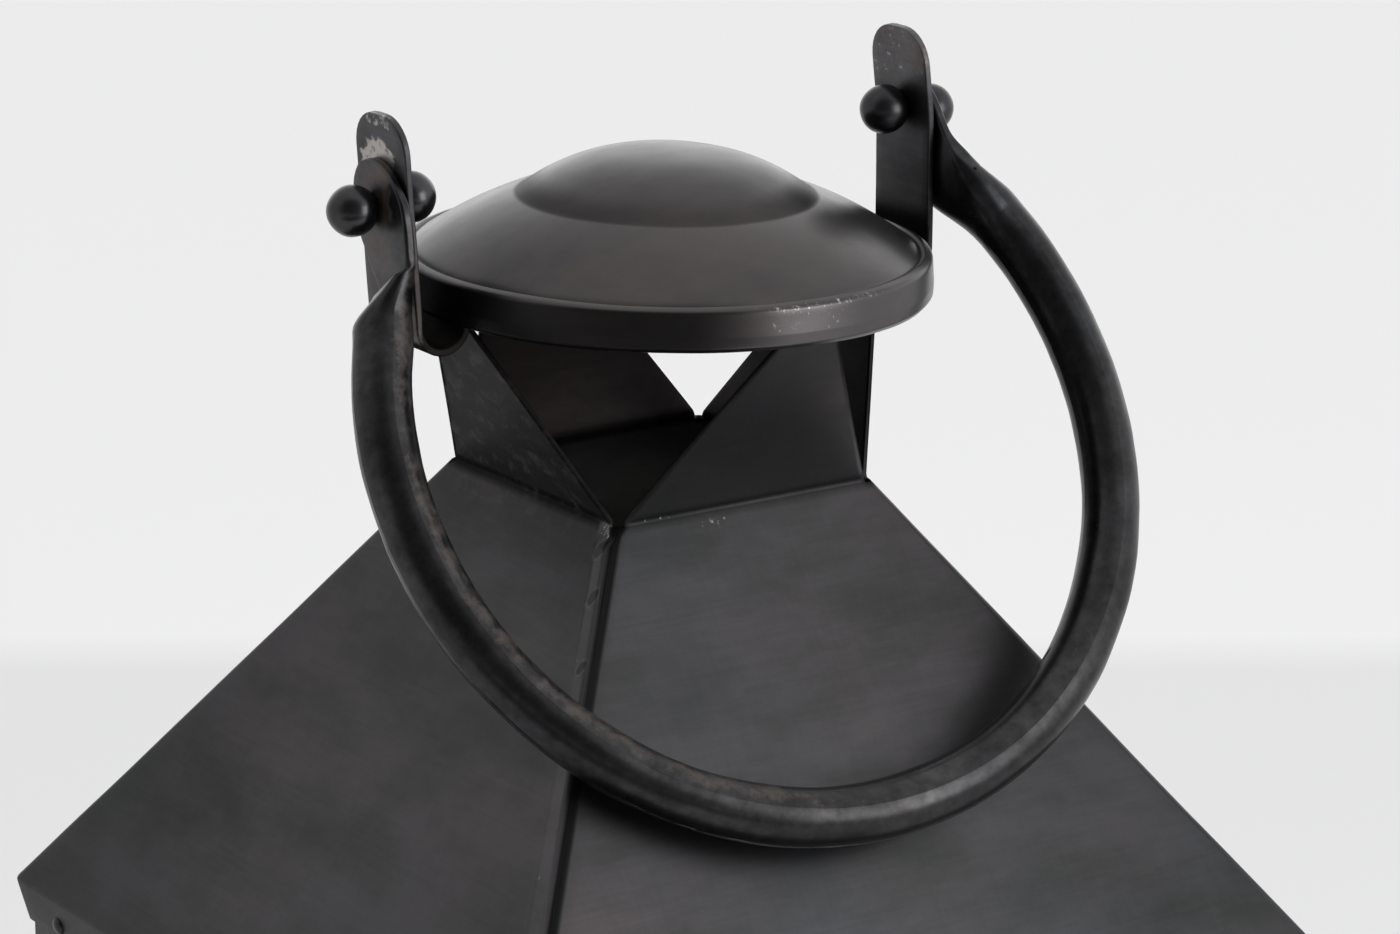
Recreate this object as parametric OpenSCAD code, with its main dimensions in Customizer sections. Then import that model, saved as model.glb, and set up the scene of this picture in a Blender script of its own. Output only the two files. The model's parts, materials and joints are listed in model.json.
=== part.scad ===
// Candle lantern with a pyramid roof, a vented chimney, a spun cap and a ring handle.
// Millimetres, +Z up. The origin is on the floor under the middle of the lantern.
// The door is on the -Y side and the ears of the handle are on the -X and +X sides.

/* [Roof] */
// Side of the square roof at its eave
roof_w = 264; // [252:2:290]
// Rise from the eave to the chimney opening
roof_rise = 130; // [110:1:150]
// Side of the square chimney opening
opening_w = 82; // [74:1:90]
// Thickness of the roof and cap sheet
sheet_t = 1.2; // [0.8:0.1:1.6]
// Depth of the skirt folded down at the eave
skirt_h = 12; // [10:1:16]
// How far the foot of the skirt is drawn in
skirt_in = 2.5; // [1:0.5:4]
// Width of the lap seam that closes the roof on its front left hip
lap_w = 5; // [3:0.5:8]
// How far each chimney flap narrows on each side for each millimetre of height
flap_taper = 0.64; // [0.58:0.01:0.68]
// Height of the upright tab at the top of each flap
flap_tab_h = 7; // [5:1:9]

/* [Cap] */
// Outside diameter of the cap
cap_d = 144; // [138:1:152]
// Height of the cap's lower edge over the chimney opening
cap_lift = 50; // [44:1:56]
// Height of the upright rim of the cap
rim_h = 11.6; // [9:0.2:14]
// Height of the rim's widest place, where it is beaded
bead_h = 3.6; // [2:0.2:5]
// How far the rim is drawn in at its lower edge
bead_in = 0.8; // [0.4:0.1:1.5]
// How far the rim is drawn in at its top
rim_in = 2; // [1:0.2:3]
// Radius of the crease between the two domes
crease_r = 40; // [30:1:46]
// Height of the crease over the cap's lower edge
crease_h = 26; // [24:0.5:32]
// Height of the upper dome over the crease
crown_h = 13; // [8:0.5:16]

/* [Handle] */
// Diameter of the round bar of the ring
bar_d = 15.6; // [12:0.2:17]
// Radius of the ring, to the middle of its bar
ring_r = 105; // [100:1:112]
// Distance from the pivots to the middle of the ring
ring_drop = 80.5; // [74:0.5:86]
// Angle that the hand-bent ring stands askew on its pins
ring_skew = 3.7; // [0:0.1:5]
// Thickness of the flattened ends of the ring
eye_t = 3; // [2:0.5:5]
// Radius of the flattened ends of the ring
eye_r = 12; // [9:0.5:14]
// Diameter of the pivot pins
pin_d = 6; // [4:0.5:7]
// Diameter of the balls on the pivot pins
ball_d = 13.5; // [11:0.5:16]
// Height of the pivots over the chimney opening
pivot_lift = 86; // [80:1:96]
// Width of the ears
ear_w = 24.5; // [20:0.5:28]
// Thickness of the ears
ear_t = 2; // [1.5:0.1:3]
// Length of the ears over the pivots
ear_over = 21.5; // [18:0.5:28]
// Gap between the cap's rim and the ears
ear_gap = 9.6; // [7:0.2:14]
// Height of the ears' inner legs inside the rim
ear_hook = 6.5; // [4:0.5:8]

/* [Body] */
// Height of the corner posts
body_h = 300; // [220:5:420]
// Width of each leg of the corner posts
post_w = 16; // [14:1:24]
// Thickness of the posts, the rails and the door frame
bar_t = 2; // [1.5:0.5:3]
// Height of the rails
rail_h = 20; // [18:1:30]
// Thickness of the glass
glass_t = 3; // [2:0.5:4]
// How far the glass laps behind its frame
glass_lap = 8; // [5:1:10]
// Height of the base plate's upper face over the floor
base_h = 26; // [22:1:40]
// Depth of the base plate's folded edge
base_fold = 16; // [10:1:18]
// How far the base plate stands out past the body
base_out = 16; // [14:1:30]
// Thickness of the base plate
base_t = 1.5; // [1:0.1:2.5]
// Diameter of the feet
foot_d = 22; // [16:1:28]

/* [Door] */
// Width of the bars of the door frame
stile_w = 16; // [14:1:24]
// Gap round the door
door_gap = 1.5; // [1:0.1:2.5]
// Height of each hinge
hinge_h = 40; // [30:2:60]
// Distance of the hinges from the ends of the door
hinge_inset = 35; // [20:1:50]
// Width of each hinge leaf
leaf_w = 13; // [10:1:14]
// Thickness of the hinge leaves
leaf_t = 1.5; // [1:0.1:2]
// Diameter of the hinge knuckles
knuckle_d = 6.4; // [5:0.2:9]
// Diameter of the hinge pins
hinge_pin_d = 3; // [2:0.2:4]
// Length of the turn button, from its rivet to the end of its tongue
button_reach = 22; // [18:1:26]

/* [Candle] */
// Diameter of the candle
candle_d = 70; // [50:1:90]
// Height of the candle
candle_h = 130; // [60:5:180]
// Diameter of the candle dish
dish_d = 116; // [100:2:150]
// Height of the dish's rim
dish_h = 9; // [5:1:15]

/* [Hidden] */
$fn = 96;

// Radial running clearance between a pin and what turns on it
run = 0.06;
// Side clearance between plates that turn past each other
side_gap = 0.2;
// Clearance between the skirt and the frame that it closes over
skirt_fit = 0.3;
// Clearance between the resting ring and the roof, and between the cap and what carries it
rest_gap = 0.3;
// Overlap of one cutting or joining shape into the next
eps = 0.5;

// Body frame, from the roof down
body_w = roof_w - 2 * (skirt_in + sheet_t + skirt_fit);
half_body = body_w / 2;
base_w = body_w + 2 * base_out;
frame_top = base_h + body_h;
inner_face = half_body - bar_t;
bay_half = half_body - post_w;

// Feet and the rivets that hold them to the base plate
foot_at = inner_face - foot_d / 2 - bar_t;
foot_h = base_h - base_t;
foot_rivet_d = 4;
foot_rivet_h = 10;

// Fixed panes and the clips that hold them: one end on the frame, the other over the glass
pane_w = 2 * (bay_half + glass_lap);
pane_h = body_h - 2 * rail_h + 2 * glass_lap;
pane_low = base_h + rail_h - glass_lap;
clip_w = 10;
clip_t = 1;
clip_foot = glass_lap - clip_t;
clip_reach = 6;
clip_bend = 1.5;

// Roof
half_roof = roof_w / 2;
half_open = opening_w / 2;
eave_z = frame_top + skirt_h / 3;
open_z = eave_z + roof_rise;
roof_slope = atan2(roof_rise, half_roof - half_open);
skirt_slope = atan2(skirt_in, skirt_h);
roof_rivet_d = 3;
roof_rivet_h = 6;
roof_rivet_inset = 24;

// Cap
cap_z = open_z + cap_lift;
cap_r = cap_d / 2;
cap_inner_r = cap_r - bead_in - sheet_t;

// Ears: an outer leg, a bend under the cap's edge and an inner leg inside its rim
ear_x = cap_r + ear_gap + ear_t / 2;
ear_inner_face = sqrt(cap_inner_r * cap_inner_r - ear_w * ear_w / 4) - rest_gap;
ear_inner_x = ear_inner_face - ear_t / 2;
ear_bend_r = (ear_x - ear_inner_x) / 2;
ear_bend_over = 1.5;
ear_bend_z = cap_z + ear_bend_over;
pivot_z = open_z + pivot_lift;

// Chimney flaps: the side pair reaches the ears, the front pair reaches the rim
flap_side_out = ear_inner_face - ear_t;
flap_tip_w = opening_w - 2 * flap_taper * cap_lift;
flap_front_out = sqrt(cap_inner_r * cap_inner_r - flap_tip_w * flap_tip_w / 4) - rest_gap;
flap_relief = sheet_t;

// Ring
bar_r = bar_d / 2;
eye_x = ear_x + ear_t / 2 + side_gap + eye_t / 2;
ball_flat = 1;
ball_seat = ball_d / 2 - ball_flat;
ring_end_angle = asin((ear_x + ear_t / 2 + rest_gap + bar_r) / ring_r);

// A point on the middle of the bar, a degrees round the ring from +X, swung t degrees out
function bar_point(a, t) =
    let (x = ring_r * cos(a) * cos(ring_skew),
         out = ring_r * cos(a) * sin(ring_skew),
         down = ring_drop - ring_r * sin(a))
    [x, -down * sin(t) - out * cos(t), pivot_lift - down * cos(t) + out * sin(t)];
// Height of a point over the outside of the roof, square to the nearer face. Over the lap
// seam and as far beside it as the bar reaches, the roof is one sheet thicker.
function over_face(u, z) = (u - half_open) * sin(roof_slope) + z * cos(roof_slope);
function over_roof(p) = max(over_face(-p[1], p[2]), over_face(abs(p[0]), p[2]))
    - (abs(p[0] - p[1]) < bar_d + lap_w ? sheet_t : 0);
function ring_clearance(t) = min([for (a = [180:2:360]) over_roof(bar_point(a, t))]) - bar_r;
// Angle at which the ring comes to rest on the roof, by halving the range
function rest_angle(low, high, steps) =
    let (mid = (low + high) / 2)
    steps == 0 ? high
    : ring_clearance(mid) < rest_gap ? rest_angle(mid, high, steps - 1)
    : rest_angle(low, mid, steps - 1);
ring_rest = rest_angle(0, 80, 16);

// Door
door_half_w = bay_half - door_gap;
door_low = base_h + rail_h + door_gap;
door_high = frame_top - rail_h - door_gap;
hinge_x = -bay_half + door_gap / 2;
hinge_y = -half_body - knuckle_d / 2;
hinge_zs = [door_low + hinge_inset, door_high - hinge_inset - hinge_h];
button_x = half_body - post_w / 2;
button_z = (door_low + door_high) / 2;
door_pane_half = door_half_w - stile_w + glass_lap;
door_pane_low = door_low + stile_w - glass_lap;
door_pane_high = door_high - stile_w + glass_lap;

// Hinges: where the plates of the leaves begin beside the knuckles
leaf_start = knuckle_d / 2 + side_gap;

// Door pull
pull_below = 6;
pull_z = button_z - button_reach - pull_below;
pull_stem_d = 5;
pull_ball_d = 11;
pull_stand = 5;
pull_collar_d = 9;
pull_collar_h = 1.5;

// Turn button
button_t = 2.5;
button_w = 12;
button_tip_r = 3.5;
button_pin_d = 4;
button_grip_y = 17;
button_grip_d = 10;

// Candle and its dish
dish_t = 1.2;
dish_lip = 3;
dish_floor = base_h + dish_t;
candle_edge_r = 3;
pool_depth = 4;
wick_d = 2.4;
wick_depth = 20;
wick_out = 8;

// Colours
iron = [0.13, 0.13, 0.14];
sheet_iron = [0.22, 0.22, 0.24];
glass = [0.80, 0.88, 0.88, 0.35];
wax = [0.93, 0.89, 0.78];

function unit(v) = v / norm(v);
function left_of(v) = [-v[1], v[0]];
// The line beside a line of points, t to its left, with mitred corners
function beside(p, t) = [
    for (i = [0:len(p) - 1])
        let (last = len(p) - 1,
             after = unit(p[min(i + 1, last)] - p[min(i, last - 1)]),
             before = i == 0 ? after : unit(p[i] - p[i - 1]),
             n = unit(left_of(before) + left_of(after)))
        p[i] + n * t / (n * left_of(before))
];
function reversed(p) = [for (i = [len(p) - 1:-1:0]) p[i]];
function arc(centre, r, from, to, steps) =
    [for (i = [0:steps]) let (a = from + (to - from) * i / steps) centre + r * [cos(a), sin(a)]];

// A strip t thick to the left of a line of points
module ribbon(p, t) {
    polygon(concat(p, reversed(beside(p, t))));
}

// A round rivet head standing on z = 0
module rivet_head(r, h) {
    rotate_extrude($fn = 48)
        polygon(concat([[0, 0]], [for (p = arc([0, 0], 1, 0, 90, 8)) [p[0] * r, p[1] * h]]));
}

// Children at a quarter turn for each side: 0 front, 1 right, 2 back, 3 left
module at_side(n) {
    rotate([0, 0, 90 * n]) children();
}

// Stands a drawing of distance outwards and height up on the front side, w wide
module front_strip(w) {
    translate([w / 2, 0, 0]) rotate([90, 0, -90]) linear_extrude(w) children();
}

// ---------------------------------------------------------------- base

module base_pan() {
    color(sheet_iron) difference() {
        translate([-base_w / 2, -base_w / 2, base_h - base_fold]) cube([base_w, base_w, base_fold]);
        translate([-base_w / 2 + base_t, -base_w / 2 + base_t, base_h - base_fold - eps])
            cube([base_w - 2 * base_t, base_w - 2 * base_t, base_fold - base_t + eps]);
        at_feet() translate([0, 0, base_h - base_t - eps]) cylinder(d = foot_rivet_d, h = base_t + 2 * eps);
    }
}

module at_feet() {
    for (sx = [-1, 1], sy = [-1, 1]) translate([sx * foot_at, sy * foot_at, 0]) children();
}

module feet() {
    bun = foot_h / 4;
    bun_x = foot_d / 2 - bun;
    neck_r = bun_x + bun / 4;
    color(iron) at_feet() difference() {
        rotate_extrude() polygon(concat(
            [[0, 0]],
            arc([bun_x, bun], bun, -90, 70, 12),
            [[neck_r, foot_h * 0.85], [bun_x + bun / 2, foot_h], [0, foot_h]]));
        translate([0, 0, foot_h - foot_rivet_h]) cylinder(d = foot_rivet_d, h = foot_rivet_h + eps);
    }
}

module foot_rivets() {
    color(iron) at_feet() {
        translate([0, 0, foot_h - foot_rivet_h]) cylinder(d = foot_rivet_d, h = foot_rivet_h + base_t);
        translate([0, 0, base_h]) rivet_head(foot_rivet_d, foot_rivet_d / 2);
    }
}

// ---------------------------------------------------------------- frame

module corner_post(sx, sy) {
    color(iron) difference() {
        in_corner(sx, sy) translate([0, 0, base_h]) linear_extrude(body_h) difference() {
            translate([half_body - post_w, half_body - post_w]) square(post_w);
            translate([half_body - post_w - eps, half_body - post_w - eps]) square(post_w - bar_t + eps);
        }
        translate([button_x, -half_body - eps, button_z]) rotate([-90, 0, 0])
            cylinder(d = button_pin_d, h = bar_t + 2 * eps);
    }
}

// Mirrors a shape in the +X +Y corner to another corner
module in_corner(sx, sy) {
    mirror([sx < 0 ? 1 : 0, 0, 0]) mirror([0, sy < 0 ? 1 : 0, 0]) children();
}

module rail(side, z) {
    color(iron) difference() {
        at_side(side) translate([-bay_half, -half_body, z]) cube([2 * bay_half, bar_t, rail_h]);
        at_roof_rivets() roof_rivet_shank(eps);
    }
}

module pane(side) {
    color(glass) at_side(side)
        translate([-pane_w / 2, -inner_face, pane_low]) cube([pane_w, glass_t, pane_h]);
}

// A clip: one end lies on the frame, the other over the edge of the glass
module clip(face) {
    front_strip(clip_w) ribbon([
        [face, -clip_foot], [face, -clip_bend],
        [face - glass_t, -side_gap], [face - glass_t, clip_reach]], clip_t);
}

// Four clips round a pane that reaches from low to high
module clips(face, x, low, high) {
    for (sx = [-1, 1]) {
        translate([sx * x, 0, low]) clip(face);
        translate([sx * x, 0, high]) mirror([0, 0, 1]) clip(face);
    }
}

module glass_clips() {
    color(iron) for (side = [1:3]) at_side(side)
        clips(inner_face, pane_w / 4, pane_low, pane_low + pane_h);
}

// ---------------------------------------------------------------- door

module door_frame() {
    color(iron) difference() {
        translate([-door_half_w, -half_body, door_low])
            cube([2 * door_half_w, bar_t, door_high - door_low]);
        translate([-door_half_w + stile_w, -half_body - eps, door_low + stile_w])
            cube([2 * (door_half_w - stile_w), bar_t + 2 * eps, door_high - door_low - 2 * stile_w]);
        translate([door_half_w - stile_w / 2, -half_body - eps, pull_z])
            rotate([-90, 0, 0]) cylinder(d = pull_stem_d, h = bar_t + 2 * eps);
    }
}

module door_glass() {
    color(glass) translate([-door_pane_half, -inner_face, door_pane_low])
        cube([2 * door_pane_half, glass_t, door_pane_high - door_pane_low]);
}

module door_clips() {
    color(iron) clips(inner_face, door_pane_half / 2, door_pane_low, door_pane_high);
}

// A ball knob whose stem is riveted through the stile
module door_pull() {
    color(iron) translate([door_half_w - stile_w / 2, -half_body, pull_z]) rotate([90, 0, 0]) {
        translate([0, 0, -bar_t]) cylinder(d = pull_stem_d, h = bar_t + pull_stand);
        translate([0, 0, pull_stand + pull_ball_d / 2 - eps]) sphere(d = pull_ball_d);
        cylinder(d = pull_collar_d, h = pull_collar_h);
    }
}

// One leaf of a hinge with its knuckles, drawn with the pin on the origin
module leaf(side, knuckles) {
    knuckle_h = hinge_h / 3;
    plate_x = side > 0 ? leaf_start : -leaf_start - leaf_w;
    difference() {
        union() {
            translate([plate_x, knuckle_d / 2 - leaf_t, 0]) cube([leaf_w, leaf_t, hinge_h]);
            for (k = knuckles) translate([0, 0, k * knuckle_h + side_gap]) {
                cylinder(d = knuckle_d, h = knuckle_h - 2 * side_gap);
                translate([min(0, side * (leaf_start + eps)), knuckle_d / 2 - leaf_t, 0])
                    cube([leaf_start + eps, leaf_t, knuckle_h - 2 * side_gap]);
            }
        }
        translate([0, 0, -eps]) cylinder(d = hinge_pin_d + (side > 0 ? 2 * run : 0), h = hinge_h + 2 * eps);
    }
}

module at_hinges() {
    for (z = hinge_zs) translate([hinge_x, hinge_y, z]) children();
}

module hinge_post_leaves() {
    color(iron) at_hinges() leaf(-1, [0, 2]);
}

module hinge_door_leaves() {
    color(iron) at_hinges() leaf(1, [1]);
}

module hinge_pin(z) {
    color(iron) translate([hinge_x, hinge_y, z]) {
        cylinder(d = hinge_pin_d, h = hinge_h);
        translate([0, 0, hinge_h - side_gap]) cylinder(d = hinge_pin_d + 2 * leaf_t, h = leaf_t);
    }
}

// Turn button on the right front post: its tongue points up when the door is free
module turn_button() {
    tip_y = button_reach - button_tip_r;
    color(iron) translate([button_x, -half_body - side_gap, button_z]) rotate([90, 0, 0]) {
        difference() {
            linear_extrude(button_t) union() {
                circle(d = button_w);
                translate([0, tip_y]) circle(button_tip_r);
                for (arm = [tip_y, -button_grip_y]) polygon([
                    [-button_w / 2, 0], [button_w / 2, 0], [button_tip_r, arm], [-button_tip_r, arm]]);
            }
            translate([0, 0, -eps]) cylinder(d = button_pin_d + 2 * run, h = button_t + 2 * eps);
        }
        translate([0, -button_grip_y, button_grip_d / 2 + eps]) sphere(d = button_grip_d);
    }
}

module turn_button_rivet() {
    shank = bar_t + button_t + 2 * side_gap;
    color(iron) translate([button_x, -half_body + bar_t, button_z]) rotate([90, 0, 0]) {
        cylinder(d = button_pin_d, h = shank + eps);
        translate([0, 0, shank]) rivet_head(button_pin_d, button_pin_d);
    }
}

// ---------------------------------------------------------------- candle

module candle_dish() {
    lip_r = dish_d / 2;
    wall_in = dish_h * 0.6;
    color(sheet_iron) translate([0, 0, base_h]) rotate_extrude() ribbon([
        [0.001, 0], [lip_r - dish_lip - wall_in, 0], [lip_r - dish_lip, dish_h - dish_lip / 3],
        [lip_r, dish_h]], dish_t);
}

module candle() {
    r = candle_d / 2;
    edge = candle_edge_r;
    color(wax) translate([0, 0, dish_floor]) difference() {
        rotate_extrude() polygon(concat(
            [[0, 0], [r, 0]],
            arc([r - edge, candle_h - edge], edge, 0, 90, 6),
            [[r - 2 * edge, candle_h - pool_depth / 4], [r / 2, candle_h - pool_depth],
             [0, candle_h - pool_depth]]));
        translate([0, 0, candle_h - wick_depth]) cylinder(d = wick_d, h = wick_depth + eps);
    }
}

module wick() {
    color("dimgray") translate([0, 0, dish_floor + candle_h - wick_depth])
        cylinder(d = wick_d, h = wick_depth + wick_out);
}

// ---------------------------------------------------------------- roof

// Outside of the roof from the foot of its skirt to the opening, as distance out and height
roof_line = [
    [half_roof - skirt_in, eave_z - skirt_h],
    [half_roof, eave_z],
    [half_open, open_z]
];

// Everything inside a roof line that is t further in, cut square at its two ends
module roof_core(t) {
    line = beside(roof_line, t);
    low = line[0] - (line[1] - line[0]);
    high = line[2] + (line[2] - line[1]) * 0.1;
    half = t > 0 ? concat([low], line, [high]) : line;
    outline = concat(half, reversed([for (p = half) [-p[0], p[1]]]));
    intersection() {
        rotate([90, 0, 0]) linear_extrude(2 * roof_w, center = true) polygon(outline);
        rotate([90, 0, 90]) linear_extrude(2 * roof_w, center = true) polygon(outline);
    }
}

// A flap bent up from the opening: it leans out, then stands upright inside the cap
module flap(out) {
    top_z = cap_z + ear_hook;
    bend_z = top_z - flap_tab_h;
    lean = (out - half_open) / (bend_z - open_z);
    start = [half_open + lean * -sheet_t, open_z - sheet_t];
    base_half = half_open - flap_relief;
    tip_half = flap_tip_w / 2;
    intersection() {
        front_strip(opening_w) ribbon([start, [out, bend_z], [out, top_z]], sheet_t);
        rotate([90, 0, 0]) linear_extrude(2 * cap_r) polygon([
            [-base_half, open_z - 2 * sheet_t], [base_half, open_z - 2 * sheet_t], [base_half, open_z],
            [tip_half, open_z + cap_lift], [tip_half, top_z], [-tip_half, top_z],
            [-tip_half, open_z + cap_lift], [-base_half, open_z]]);
    }
}

// The lap seam: the front face's edge bent round the hip onto the left face
module lap_seam() {
    t2 = pow(tan(roof_slope), 2);
    plan_w = lap_w * sqrt((2 + t2) / (2 * (1 + t2)));
    intersection() {
        difference() {
            roof_core(-sheet_t);
            roof_core(0);
        }
        translate([0, 0, eave_z + lap_w]) linear_extrude(roof_rise - 2 * lap_w) polygon([
            [0, 0], [-half_roof, -half_roof], [-half_roof - 2 * sheet_t, -half_roof],
            [-half_roof - 2 * sheet_t, -half_roof + plan_w * sqrt(2)], [0, plan_w * sqrt(2)]]);
        translate([-roof_w, -half_roof, 0]) cube([roof_w, roof_w, 2 * open_z]);
    }
}

// Places children on the middle of the skirt with +Z out of its face, two to a side
module at_roof_rivets() {
    for (side = [0:3], sx = [-1, 1])
        at_side(side) translate([sx * (half_roof - roof_rivet_inset), -half_roof + skirt_in * 2 / 3,
                                 eave_z - skirt_h * 2 / 3])
            rotate([90 + skirt_slope, 0, 0]) children();
}

// The shank of a roof rivet, or its bore with an overlap past the face of the skirt
module roof_rivet_shank(past = 0) {
    translate([0, 0, -roof_rivet_h]) cylinder(d = roof_rivet_d, h = roof_rivet_h + past, $fn = 32);
}

module roof_rivets() {
    color(iron) at_roof_rivets() {
        roof_rivet_shank();
        rivet_head(roof_rivet_d * 0.85, roof_rivet_d / 2);
    }
}

module roof_sheet() {
    color(sheet_iron) {
        difference() {
            union() {
                difference() {
                    roof_core(0);
                    roof_core(sheet_t);
                }
                lap_seam();
            }
            at_roof_rivets() roof_rivet_shank(eps);
        }
        for (side = [0, 2]) at_side(side) flap(flap_front_out);
        for (side = [1, 3]) at_side(side) flap(flap_side_out);
    }
}

// ---------------------------------------------------------------- cap

// How far the rim of the cap is drawn in at height z
function rim_draw(z) = z < bead_h ? bead_in * pow((bead_h - z) / bead_h, 2)
                                  : rim_in * pow((z - bead_h) / (rim_h - bead_h), 2);

module cap() {
    rim = [for (i = [0:8]) let (z = rim_h * i / 8) [cap_r - rim_draw(z), z]];
    crease = [crease_r, crease_h];
    crown_r = (crease_r * crease_r + crown_h * crown_h) / (2 * crown_h);
    crown_a = asin(crease_r / crown_r);
    // The lower dome bulges a little between the rim and the crease, most at its middle
    chord = crease - rim[8];
    bulge = left_of(chord) * -0.03;
    dome = [for (i = [1:5]) let (k = i / 6) rim[8] + chord * k + bulge * 4 * k * (1 - k)];
    crown = arc([0, crease_h + crown_h - crown_r], crown_r, 90 - crown_a, 90, 10);
    line = concat(rim, dome, crown);
    inner = beside(line, sheet_t);
    last = len(inner) - 1;
    closed = concat([for (i = [0:last - 1]) inner[i]], [[0, inner[last][1]]]);
    color(sheet_iron) translate([0, 0, cap_z]) rotate_extrude($fn = 128)
        polygon(concat(line, reversed(closed)));
}

// ---------------------------------------------------------------- handle

// The right ear: upright outer leg, bend under the cap's edge, inner leg inside the rim
module ear() {
    top = pivot_z + ear_over;
    low = cap_z - ear_w;
    round_r = ear_w * 0.4;
    bend_x = (ear_x + ear_inner_x) / 2;
    outer = ear_bend_r + ear_t / 2;
    line = concat(
        [[bend_x + outer, top]],
        arc([bend_x, ear_bend_z], outer, 0, -180, 24),
        [[bend_x - outer, cap_z + ear_hook]]);
    difference() {
        intersection() {
            translate([0, ear_w / 2, 0]) rotate([90, 0, 0]) linear_extrude(ear_w) ribbon(reversed(line), ear_t);
            rotate([90, 0, 90]) linear_extrude(2 * cap_r) union() {
                translate([-ear_w / 2, low]) square([ear_w, top - round_r - low]);
                translate([-ear_w / 2 + round_r, low]) square([ear_w - 2 * round_r, top - low]);
                for (s = [-1, 1]) translate([s * (ear_w / 2 - round_r), top - round_r]) circle(round_r);
            }
        }
        translate([ear_x - ear_t, 0, pivot_z]) rotate([0, 90, 0]) cylinder(d = pin_d, h = 2 * ear_t);
    }
}

module ear_left() {
    color(iron) mirror([1, 0, 0]) ear();
}

module ear_right() {
    color(iron) ear();
}

// The right pivot pin: the outer ball and its stem, which the ball nut closes inside the ear
module pivot_pin() {
    inside = ear_x - ear_t / 2 - side_gap;
    outside = eye_x + eye_t / 2 + side_gap;
    translate([inside - ball_seat, 0, pivot_z]) rotate([0, 90, 0])
        cylinder(d = pin_d, h = outside - inside + 2 * ball_seat);
    flat_ball(outside + ball_seat, 1);
}

// A ball with a flat on the side that faces the ear
module flat_ball(x, s) {
    intersection() {
        translate([x, 0, pivot_z]) rotate([0, 90, 0]) sphere(d = ball_d);
        translate([s > 0 ? x - ball_seat : x - ball_d, -ball_d, pivot_z - ball_d])
            cube([ball_d + ball_seat, 2 * ball_d, 2 * ball_d]);
    }
}

module ball_nut() {
    inside = ear_x - ear_t / 2 - side_gap;
    difference() {
        flat_ball(inside - ball_seat, -1);
        translate([inside - ball_seat, 0, pivot_z]) rotate([0, 90, 0]) cylinder(d = pin_d, h = ball_d);
    }
}

module pivot_pin_left() {
    color(iron) mirror([1, 0, 0]) pivot_pin();
}

module pivot_pin_right() {
    color(iron) pivot_pin();
}

module ball_nut_left() {
    color(iron) mirror([1, 0, 0]) ball_nut();
}

module ball_nut_right() {
    color(iron) ball_nut();
}

// A thin slice across the bar where the ring's round part ends, s is +1 right and -1 left
module bar_end(s) {
    a = s > 0 ? 90 - ring_end_angle : 90 + ring_end_angle;
    translate([0, 0, -ring_drop]) rotate([0, 0, -ring_skew]) rotate([90, 0, 0])
        rotate([0, 0, a]) translate([ring_r, 0, 0]) rotate([90, 0, 0])
            cylinder(d = bar_d, h = eps, center = true, $fn = 32);
}

// The flattened end: an eye on the pin, forged out of the bar
module ring_end(s) {
    difference() {
        union() {
            translate([s * eye_x - eye_t / 2, 0, 0]) rotate([90, 0, 90]) linear_extrude(eye_t) union() {
                circle(eye_r);
                translate([-eye_r, -eye_r]) square([2 * eye_r, eye_r]);
            }
            hull() {
                translate([s * eye_x - eye_t / 2, -eye_r, -eye_r]) cube([eye_t, 2 * eye_r, eps]);
                bar_end(s);
            }
        }
        translate([s * eye_x - eye_t, 0, 0]) rotate([0, 90, 0]) cylinder(d = pin_d + 2 * run, h = 2 * eye_t);
    }
}

module ring_handle() {
    color(iron) translate([0, 0, pivot_z]) rotate([-ring_rest, 0, 0]) {
        translate([0, 0, -ring_drop]) rotate([0, 0, -ring_skew]) rotate([90, 0, 0])
            rotate([0, 0, 90 + ring_end_angle]) rotate_extrude(angle = 360 - 2 * ring_end_angle, $fn = 128)
                translate([ring_r, 0]) circle(d = bar_d, $fn = 48);
        ring_end(1);
        ring_end(-1);
    }
}

// ---------------------------------------------------------------- all nodes

base_pan();
feet();
foot_rivets();
corner_post(-1, -1);  // corner_post_front_left
corner_post(1, -1);  // corner_post_front_right
corner_post(-1, 1);  // corner_post_back_left
corner_post(1, 1);  // corner_post_back_right
rail(0, base_h);  // bottom_rail_front
rail(1, base_h);  // bottom_rail_right
rail(2, base_h);  // bottom_rail_back
rail(3, base_h);  // bottom_rail_left
rail(0, frame_top - rail_h);  // top_rail_front
rail(1, frame_top - rail_h);  // top_rail_right
rail(2, frame_top - rail_h);  // top_rail_back
rail(3, frame_top - rail_h);  // top_rail_left
pane(1);  // glass_right
pane(2);  // glass_back
pane(3);  // glass_left
glass_clips();
door_frame();
door_glass();
door_clips();
door_pull();
hinge_post_leaves();
hinge_door_leaves();
hinge_pin(hinge_zs[0]);  // hinge_pin_lower
hinge_pin(hinge_zs[1]);  // hinge_pin_upper
turn_button();
turn_button_rivet();
candle_dish();
candle();
wick();
roof_sheet();
roof_rivets();
cap();
ear_left();
ear_right();
pivot_pin_left();
pivot_pin_right();
ball_nut_left();
ball_nut_right();
ring_handle();
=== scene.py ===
"""A square candle lantern in blackened iron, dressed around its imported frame.

Lengths are in millimetres until to_object() turns them into metres. The origin is on the floor under
the middle of the lantern, with the door on the -Y side and the ears of the handle on the X sides.
"""

from math import acos, asin, atan2, ceil, cos, degrees, hypot, pi, radians, sin, tan, tau

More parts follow.
